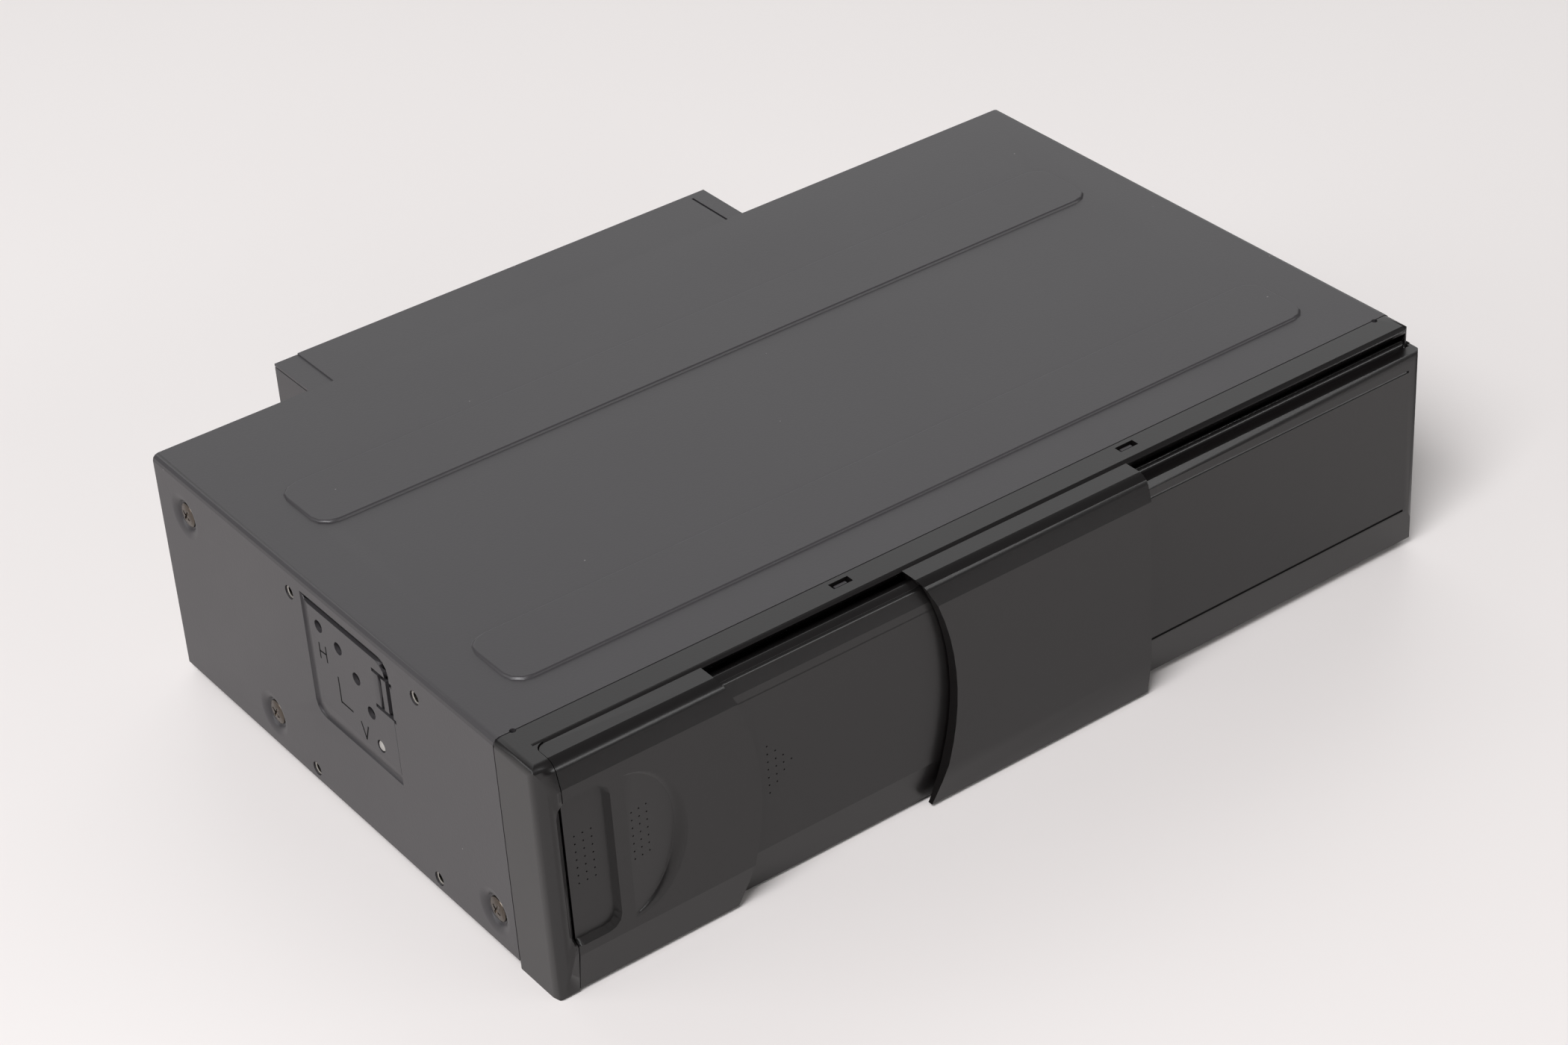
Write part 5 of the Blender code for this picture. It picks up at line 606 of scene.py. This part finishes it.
soften(cover, lambda place: on_rib(place, SHEET_TOP - 0.00001, SHEET_TOP + 0.00001), RIB_FOOT_ROUND)

BOWL = (
    (-0.001, 0),
    (-0.001, 0.0064),
    (0, 0.0061),
    (0.00008, 0.0054),
    (0.00025, 0.0047),
    (0.00055, 0.0041),
    (0.00085, 0.00378),
    (0.00119, 0.00362),
    (0.00119, 0),
)
left_bowls = in_one(row_of(turned(BOWL, "X", at(0, *SCREW_PLACES[0])), SCREW_PLACES[0], SCREW_PLACES[1:]))
cut(cover, mirrored(left_bowls))
cut(cover, left_bowls)


SEAM_HOLES = ((0.0050, 0.0164), (0.2499, 0.0161))
SEAM_RADIUS = 0.00075
SEAM_FLOOR = 0.0599


def seam_tools():
    """Two short drills where the cover meets the front at its upper corners."""
    return in_one([drill(SEAM_RADIUS, 0.003, "Z", at(x, y, SEAM_FLOOR), 20) for x, y in SEAM_HOLES])


cut(cover, seam_tools())

# The dial panel lies only a quarter of a millimetre below the side, so its corners move outward.
PANEL_SHIFT = 0.00105
for vertex in cover.data.vertices:
    side = abs(vertex.co.x)
    if 0.1215 < side < 0.12622 and -0.0335 < vertex.co.y < 0.0075 and 0.0225 < vertex.co.z < 0.0585:
        vertex.co.x *= (side + PANEL_SHIFT) / side
DIAL_PIVOT = (0.0902, 0.0275)
DIAL_RADIUS = 0.0234
INDEX_ANGLES = (7, 27, 47, 67, 87)
INDEX_HOLE = 0.00158


def index_place(angle, x=0.0):
    """A place on the dial's arc of index holes."""
    lean = math.radians(angle)
    y, z = DIAL_PIVOT
    return at(x, y - DIAL_RADIUS * math.cos(lean), z + DIAL_RADIUS * math.sin(lean))


index_places = [index_place(angle, -0.001) for angle in INDEX_ANGLES]
index_drills = in_one([drill(INDEX_HOLE, 0.003, "X", place, 28) for place in index_places])
cut(cover, mirrored(index_drills))
cut(cover, index_drills)
stands_for(coloured(smooth(cover, 30), COAT), "top_cover")


# Side screws and thread sleeves
# Six low round-headed screws in black zinc plate with a cross recess, sunk in the cover's dimples; eight
# bright steel thread sleeves behind the mounting holes, with four turns of thread each.
SCREW = (
    (0.00042, 0),
    (0.00045, 0.0012),
    (0.0006, 0.0024),
    (0.00085, 0.0030),
    (0.00105, 0.0031),
    (0.00118, 0.0031),
    (0.00118, 0.0015),
    (0.0062, 0.0015),
    (0.0064, 0.0013),
    (0.0064, 0),
)
CROSS_ARM = (0.0016, 0.0031, 0.00062)
CROSS_TURNS = (35, 125)


def screw_head():
    """One screw at the left side's first place, its cross recess worn a little round."""
    spot = at(0, *SCREW_PLACES[0])
    made = turned(SCREW, "X", spot, 36)
    arms = [block(spot, CROSS_ARM, (math.radians(turn), 0, 0)) for turn in CROSS_TURNS]
    for arm in arms:
        cut(made, arm)
    soften(
        made,
        lambda place: abs(place.x - spot.x) < 0.00052 and (place.yz - spot.yz).length < 0.0017,
        0.00006,
        2,
    )
    return smooth(made, 35)


DARK_STEEL = drawn_steel("black_zinc_plated_steel", "Z", "#3a342f", "#6e655c", 0.2, 0.36)
screws = row_of(screw_head(), SCREW_PLACES[0], SCREW_PLACES[1:])
for number, left_screw in enumerate(screws, 1):
    right_screw = mirrored(left_screw)
    left_screw.name = f"left_screw_{number}"
    right_screw.name = f"right_screw_{number}"
    stands_for(coloured(smooth(left_screw, 35), DARK_STEEL), f"side_screw_left_{number}")
    stands_for(coloured(smooth(right_screw, 35), DARK_STEEL), f"side_screw_right_{number}")

SLEEVE_TURNS = 4
SLEEVE_PITCH = 0.00042
SLEEVE_START = 0.0004
SLEEVE_END = 0.0022
SLEEVE_OUTSIDE = 0.00174
THREAD_ROOT = 0.00158
THREAD_CREST = 0.00128
THREAD_FLAT = 0.00004
profile = [(SLEEVE_END, SLEEVE_OUTSIDE), (SLEEVE_START, SLEEVE_OUTSIDE)]
for turn in range(SLEEVE_TURNS):
    begin = SLEEVE_START + turn * SLEEVE_PITCH
    profile.append((begin + THREAD_FLAT, THREAD_ROOT))
    profile.append((begin + SLEEVE_PITCH / 2, THREAD_CREST))
    profile.append((begin + SLEEVE_PITCH - THREAD_FLAT, THREAD_ROOT))
profile += [(SLEEVE_END, THREAD_ROOT), (SLEEVE_END, SLEEVE_OUTSIDE)]
sleeve = turned(profile, "X", at(0, *MOUNT_HOLES[0]), 28)
sleeves = row_of(sleeve, MOUNT_HOLES[0], MOUNT_HOLES[1:])
BRIGHT = drawn_steel("bright_zinc_thread_steel", "X", "#8e8b86", "#b4b1ab", 0.16, 0.28)
for number, left_sleeve in enumerate(sleeves, 1):
    right_sleeve = mirrored(left_sleeve)
    left_sleeve.name = f"left_thread_sleeve_{number}"
    right_sleeve.name = f"right_thread_sleeve_{number}"
    goes_with(coloured(smooth(left_sleeve, 35), BRIGHT), "base_pan")
    goes_with(coloured(smooth(right_sleeve, 35), BRIGHT), "base_pan")


# Dial marks
# H, L and V printed in black beside the index holes: flat, standing on edge, or between the two. The
# ink is printed straight on the coat of the dial panel, a little thicker than paint, and looks matt.
PANEL_DEPTH = 0.0013
DIAL_FACE = PANEL_DEPTH - PANEL_SHIFT
INK_THICK = 0.00005
INK_WIDE = 0.00042
MARKS = {
    "flat_mark": (((89.9, 45.9), (89.9, 42.0)), ((87.1, 46.1), (87.1, 42.1)), ((89.9, 43.9), (87.1, 44.1))),
    "slanted_mark": (((83.0, 40.2), (83.0, 33.5)), ((83.0, 33.6), (78.3, 33.5))),
    "upright_mark": (((74.9, 32.6), (73.4, 28.8)), ((73.4, 28.8), (72.0, 32.7))),
}


def printed(strokes, flip):
    """Ink strokes on the left dial's face."""
    middle = sum(y for ends in strokes for y, _ in ends) / (2 * len(strokes))
    bars = []
    for (y, z), (y_end, z_end) in strokes:
        if flip:
            y, y_end = 2 * middle - y, 2 * middle - y_end
        lean = math.atan2(z_end - z, y_end - y)
        length = math.hypot(z_end - z, y_end - y) * MM + INK_WIDE
        centre = at(DIAL_FACE, (y + y_end) / 2 * MM, (z + z_end) / 2 * MM)
        bars.append(block(centre, (INK_THICK, length, INK_WIDE), (lean, 0, 0)))
    made = in_one(bars)
    soften(made, lambda place: True, 0.00001, 1)
    return made


INK = moulded("matt_black_printing_ink", "#050505", "#090909", 0.7, 0.8, 0.0004, 0.000005, 0.5, 1.2)
for name, strokes in MARKS.items():
    left_mark = printed(strokes, False)
    turned_mark = printed(strokes, True)
    right_mark = mirrored(turned_mark)
    bpy.data.objects.remove(turned_mark)
    left_mark.name = f"left_{name}"
    right_mark.name = f"right_{name}"
    goes_with(coloured(smooth(left_mark), INK), "top_cover")
    goes_with(coloured(smooth(right_mark), INK), "top_cover")


# Index pins
# The bright turned end of each selector's steel pin. It is riveted to the selector's arm, stands in the
# lowest index hole at rest and moves with the arm.
PIN = (
    (-0.0002, 0),
    (-0.00012, 0.0008),
    (0.0001, 0.00125),
    (0.0004, 0.00135),
    (0.0032, 0.00135),
    (0.0032, 0),
)
left_pin = turned(PIN, "X", index_place(INDEX_ANGLES[0], DIAL_FACE + 0.0001), 28)
right_pin = mirrored(left_pin)
left_pin.name = "left_index_pin"
right_pin.name = "right_index_pin"
goes_with(coloured(smooth(left_pin, 40), STAMPED), "angle_selector_left")
goes_with(coloured(smooth(right_pin, 40), STAMPED), "angle_selector_right")


# Front bezel
# Injection-moulded black ABS with a fine even grain and a slight sheen: the left end cap, the hood strip
# and the frame round the magazine slot, in one piece.
FRONT_ABS = moulded("fine_grained_black_abs", "#0e0c0c", "#110f0f", 0.26, 0.33, 0.00035, 0.00002)
LEAF_CREASE = 0.0547
MIDDLE_CREASE = 0.0543
FLANGE_FRONT = -0.0820


def creased(height):
    """Whether a corner lies on the fold between the brow's flat and the face."""
    return lambda place: abs(place.z - height) < 0.00005 and place.y < FLANGE_FRONT


RECESS = (0.0035, 0.0168, 0.0131, 0.0518)
RECESS_CORNER = 0.0035
RECESS_SLOPE = 0.0009
RECESS_FLOOR = 0.0010


def recess_tool(front):
    """The finger recess as a tool: a rounded block whose walls lean in towards its floor."""
    left, right, low, high = RECESS
    deep = RECESS_FLOOR - front
    centre = at((left + right) / 2, (front + RECESS_FLOOR) / 2, (low + high) / 2)
    made = block(centre, (right - left, deep, high - low))
    middle = centre.y
    pick(made, lambda place: False)
    bpy.ops.object.mode_set(mode="OBJECT")
    for edge in made.data.edges:
        first, second = (made.data.vertices[index].co for index in edge.vertices)
        edge.select = abs(first.x - second.x) < 1e-6 and abs(first.z - second.z) < 1e-6
    bpy.ops.object.mode_set(mode="EDIT")
    bpy.ops.mesh.bevel(offset=RECESS_CORNER, segments=6, affect="EDGES")
    bpy.ops.object.mode_set(mode="OBJECT")
    pick(made, lambda place: place.y > middle, "FACE")
    narrow = (right - left - 2 * RECESS_SLOPE) / (right - left)
    short = (high - low - 2 * RECESS_SLOPE) / (high - low)
    centre = at((left + right) / 2, RECESS_FLOOR, (low + high) / 2)
    bpy.ops.transform.resize(value=(narrow, 1, short), center_override=centre)
    bpy.ops.object.mode_set(mode="OBJECT")
    pick(made, lambda place: place.y < middle, "FACE")
    bpy.ops.mesh.extrude_region_move(TRANSFORM_OT_translate={"value": (0, -0.001, 0)})
    bpy.ops.object.mode_set(mode="OBJECT")
    return made


POCKET_CORNER = (0.0052, 0.0092)
POCKET_ROUND = 0.0025
HOOD_BOTTOM = 0.0592
RIGHT_END = 0.12745


def pocket_fillet():
    """The rounded inner corner where the hood strip meets the end cap."""
    x, y = POCKET_CORNER
    size = POCKET_ROUND
    low, high = HOOD_BOTTOM, SHEET_TOP
    made = block(at(x + size / 2, y - size / 2, (low + high) / 2), (size, size, high - low))
    cut(made, drill(size, 0.004, "Z", at(x + size, y - size, low - 0.001), 48))
    return made


bezel = refined("front_bezel")
flatten(bezel, lambda place: True)
cut(bezel, seam_tools())
cut(bezel, recess_tool(0))
soften(bezel, lambda place: place.x > RIGHT_END and place.z > HOOD_BOTTOM, 0.0011, 4)
bezel = in_one([bezel, pocket_fillet()])
stands_for(coloured(smooth(bezel, 50, creased(LEAF_CREASE)), FRONT_ABS), "front_bezel")


# Shutter leaves
# Three moulded leaves of the same ABS that slide behind one another on rails at top and foot. Rows of
# small pits mark where the finger goes and which way to push.
def drilled(piece, spots, radius=0.00024, depth=0.0006):
    """Small pits in a front-facing wall, each started from the wall's own face."""
    tip = ((-0.001, 0), (-0.001, radius), (depth * 0.7, radius * 0.8), (depth, 0))
    first = turned(tip, "Y", (0, 0, 0), 8)
    pins = []
    for x, z in spots:
        found, place, _, _ = piece.ray_cast(at(x * MM, -0.02, z * MM), (0, 1, 0))
        if found:
            pins.append(copied(first, place))
    bpy.data.objects.remove(first)
    cut(piece, in_one(pins))


RECESS_PITS = [(x, 28.0 + 2.07 * row) for x in (8.2, 10.3, 12.4) for row in range(7)]
SCOOP_PITS = [(x, 28.1 + 2.07 * row) for x in (21.6, 23.65, 25.7) for row in range(7)]
ARROW_PITS = [(58.6, z) for z in (37.6, 35.5, 33.4, 31.4, 29.2, 27.2, 25.1)]
ARROW_PITS += [(60.7, z) for z in (35.5, 33.4, 31.35, 29.2, 27.2)]
ARROW_PITS += [(62.7, z) for z in (33.4, 31.4, 29.4)] + [(64.8, 31.3)]

SCOOP_LEFT = 0.0202
SCOOP_REACH = 0.0150
SCOOP_MIDDLE = 0.0321
SCOOP_HALF = 0.0190
SCOOP_FLOOR = (-0.125, 1, 0.013)
SCOOP_ROUND = 0.0027
LEAF_FACE = 0.0002


def scoop_tool():
    """A half moon whose floor falls from its straight left edge to the steep bowed wall at its right."""
    alone()
    place = at(SCOOP_LEFT, LEAF_FACE, SCOOP_MIDDLE)
    lean = (math.pi / 2, 0, 0)
    bpy.ops.mesh.primitive_cone_add(
        vertices=64,
        radius1=0.83,
        radius2=1.17,
        depth=0.004,
        location=place,
        rotation=lean,
    )
    made = bpy.context.object
    made.scale = (SCOOP_REACH, SCOOP_HALF, 1)
    bpy.ops.object.transform_apply(location=True, rotation=True, scale=True)
    edge = at(SCOOP_LEFT, LEAF_FACE, SCOOP_MIDDLE + SCOOP_HALF)
    for normal in ((-1, 0, 0), SCOOP_FLOOR):
        pick(made, lambda place: True, "FACE")
        bpy.ops.mesh.bisect(plane_co=edge, plane_no=normal, use_fill=True, clear_outer=True)
        bpy.ops.object.mode_set(mode="OBJECT")
    slope = Vector(SCOOP_FLOOR)
    soften(
        made,
        lambda place: abs((place - edge).dot(slope)) < 0.00002 and place.x > edge.x + 0.0001,
        SCOOP_ROUND,
        7,
    )
    return made


FLANGE_REAR = -0.0812
FLANGE_LOW = 0.0589


def rounded_back(leaf, x, width):
    """The corner of the leaf's upper flange, rounded in plan."""
    near = 0.00005
    pick(
        leaf,
        lambda place: abs(place.x - x) < near and abs(place.y - FLANGE_REAR) < near and place.z > FLANGE_LOW,
    )
    bpy.ops.mesh.bevel(offset=width, segments=6, affect="EDGES")
    bpy.ops.object.mode_set(mode="OBJECT")


GRIP_LEFT = 0.0055
GRIP_CORNER = 0.0022
grip = refined("grip_leaf")
combined(grip, block(at(0.02775, 0.0012, SCOOP_MIDDLE), (0.0157, 0.0020, 0.0386)), "UNION")
flatten(grip, lambda place: True)
cut(grip, scoop_tool())
drilled(grip, RECESS_PITS + SCOOP_PITS)
rounded_back(grip, GRIP_LEFT - HALF_WIDTH, GRIP_CORNER)
stands_for(coloured(smooth(grip, 32, creased(LEAF_CREASE)), FRONT_ABS), "grip_leaf")

middle = refined("middle_leaf")
flatten(middle, lambda place: True)
drilled(middle, ARROW_PITS)
for y, z, width in ((0.00445, 0.05825, 0.0005), (0.0033, 0.0520, 0.0003)):
    cut(middle, block(at(0.081, y, z), (0.08, width, width), (math.radians(45), 0, 0)))
stands_for(coloured(smooth(middle, 32, creased(MIDDLE_CREASE)), FRONT_ABS), "middle_leaf")

centre = refined("centre_leaf")
flatten(centre, lambda place: True)
stands_for(coloured(smooth(centre, 32, creased(LEAF_CREASE)), FRONT_ABS), "centre_leaf")


# Right front panel
# The fixed panel of the same ABS, moulded with two thin lines and a rounded right end, and clipped to
# the frame behind it.
PANEL_FRONT = -0.0838
PANEL_TOP = 0.05605
PANEL_ROUND = 0.0009
panel = refined("right_front_panel")
flatten(panel, lambda place: True)
soften(
    panel,
    lambda place: place.x > RIGHT_END and (place.y < PANEL_FRONT or place.z > PANEL_TOP),
    PANEL_ROUND,
    4,
)
stands_for(coloured(smooth(panel, 32, creased(MIDDLE_CREASE)), FRONT_ABS), "right_front_panel")


# Eject button
# A small moulded key of the same ABS under the magazine slot, guided in the bezel and free to be pressed
# when the shutter is open.
eject = refined("eject_button")
flatten(eject, lambda place: True)
stands_for(coloured(smooth(eject), FRONT_ABS), "eject_button")


# Sockets
# Two moulded black nylon sockets in the rear box: three brass pins in a row for power, eight thinner
# ones on a ring for data. The pins are drawn wire with rounded ends, pressed in from behind.
SOCKET_NYLON = moulded("black_nylon", "#171718", "#202021", 0.38, 0.5, 0.0004, 0.00001)
BRASS = drawn_steel("drawn_brass_pin", "Y", "#b08d3f", "#cfae5c", 0.2, 0.32)
for name in ("power_socket", "data_socket"):
    plain = refined(name)
    flatten(plain, lambda place: True)
    stands_for(coloured(smooth(plain), SOCKET_NYLON), name)


PIN_FOOT = 0.1695


def brass_pins(name, socket, radius, spots):
    """Round-ended pins that stand in a socket, all in one mesh."""
    profile = ((0, 0), (0, radius), (0.0066, radius), (0.0071, radius * 0.7), (0.0073, 0))
    first = turned(profile, "Y", at(spots[0][0], PIN_FOOT, spots[0][1]), 16)
    pins = [first]
    for x, z in spots[1:]:
        pins.append(copied(first, (x - spots[0][0], 0, z - spots[0][1])))
    made = in_one(pins)
    made.name = name
    goes_with(coloured(smooth(made, 40), BRASS), socket)


SOCKET_HEIGHT = 0.023
DATA_MIDDLE = 0.1
DATA_RING = 0.0036
brass_pins("power_pins", "power_socket", 0.0008, [(x, SOCKET_HEIGHT) for x in (0.0655, 0.0700, 0.0745)])
ring = [math.radians(-30 + turn * 30) for turn in range(9) if turn != 4]
data_spots = []
for turn in ring:
    data_spots.append((DATA_MIDDLE + DATA_RING * math.cos(turn), SOCKET_HEIGHT + DATA_RING * math.sin(turn)))
brass_pins("data_pins", "data_socket", 0.0005, data_spots)


# Rear box
# A folded and welded steel box behind the chassis with its own small cover, screwed to the rear wall
# and powder coated like the top cover.
for name in ("rear_box", "rear_box_cover"):
    folded = refined(name)
    flatten(folded, lambda place: True)
    stands_for(coloured(smooth(folded), COAT), name)
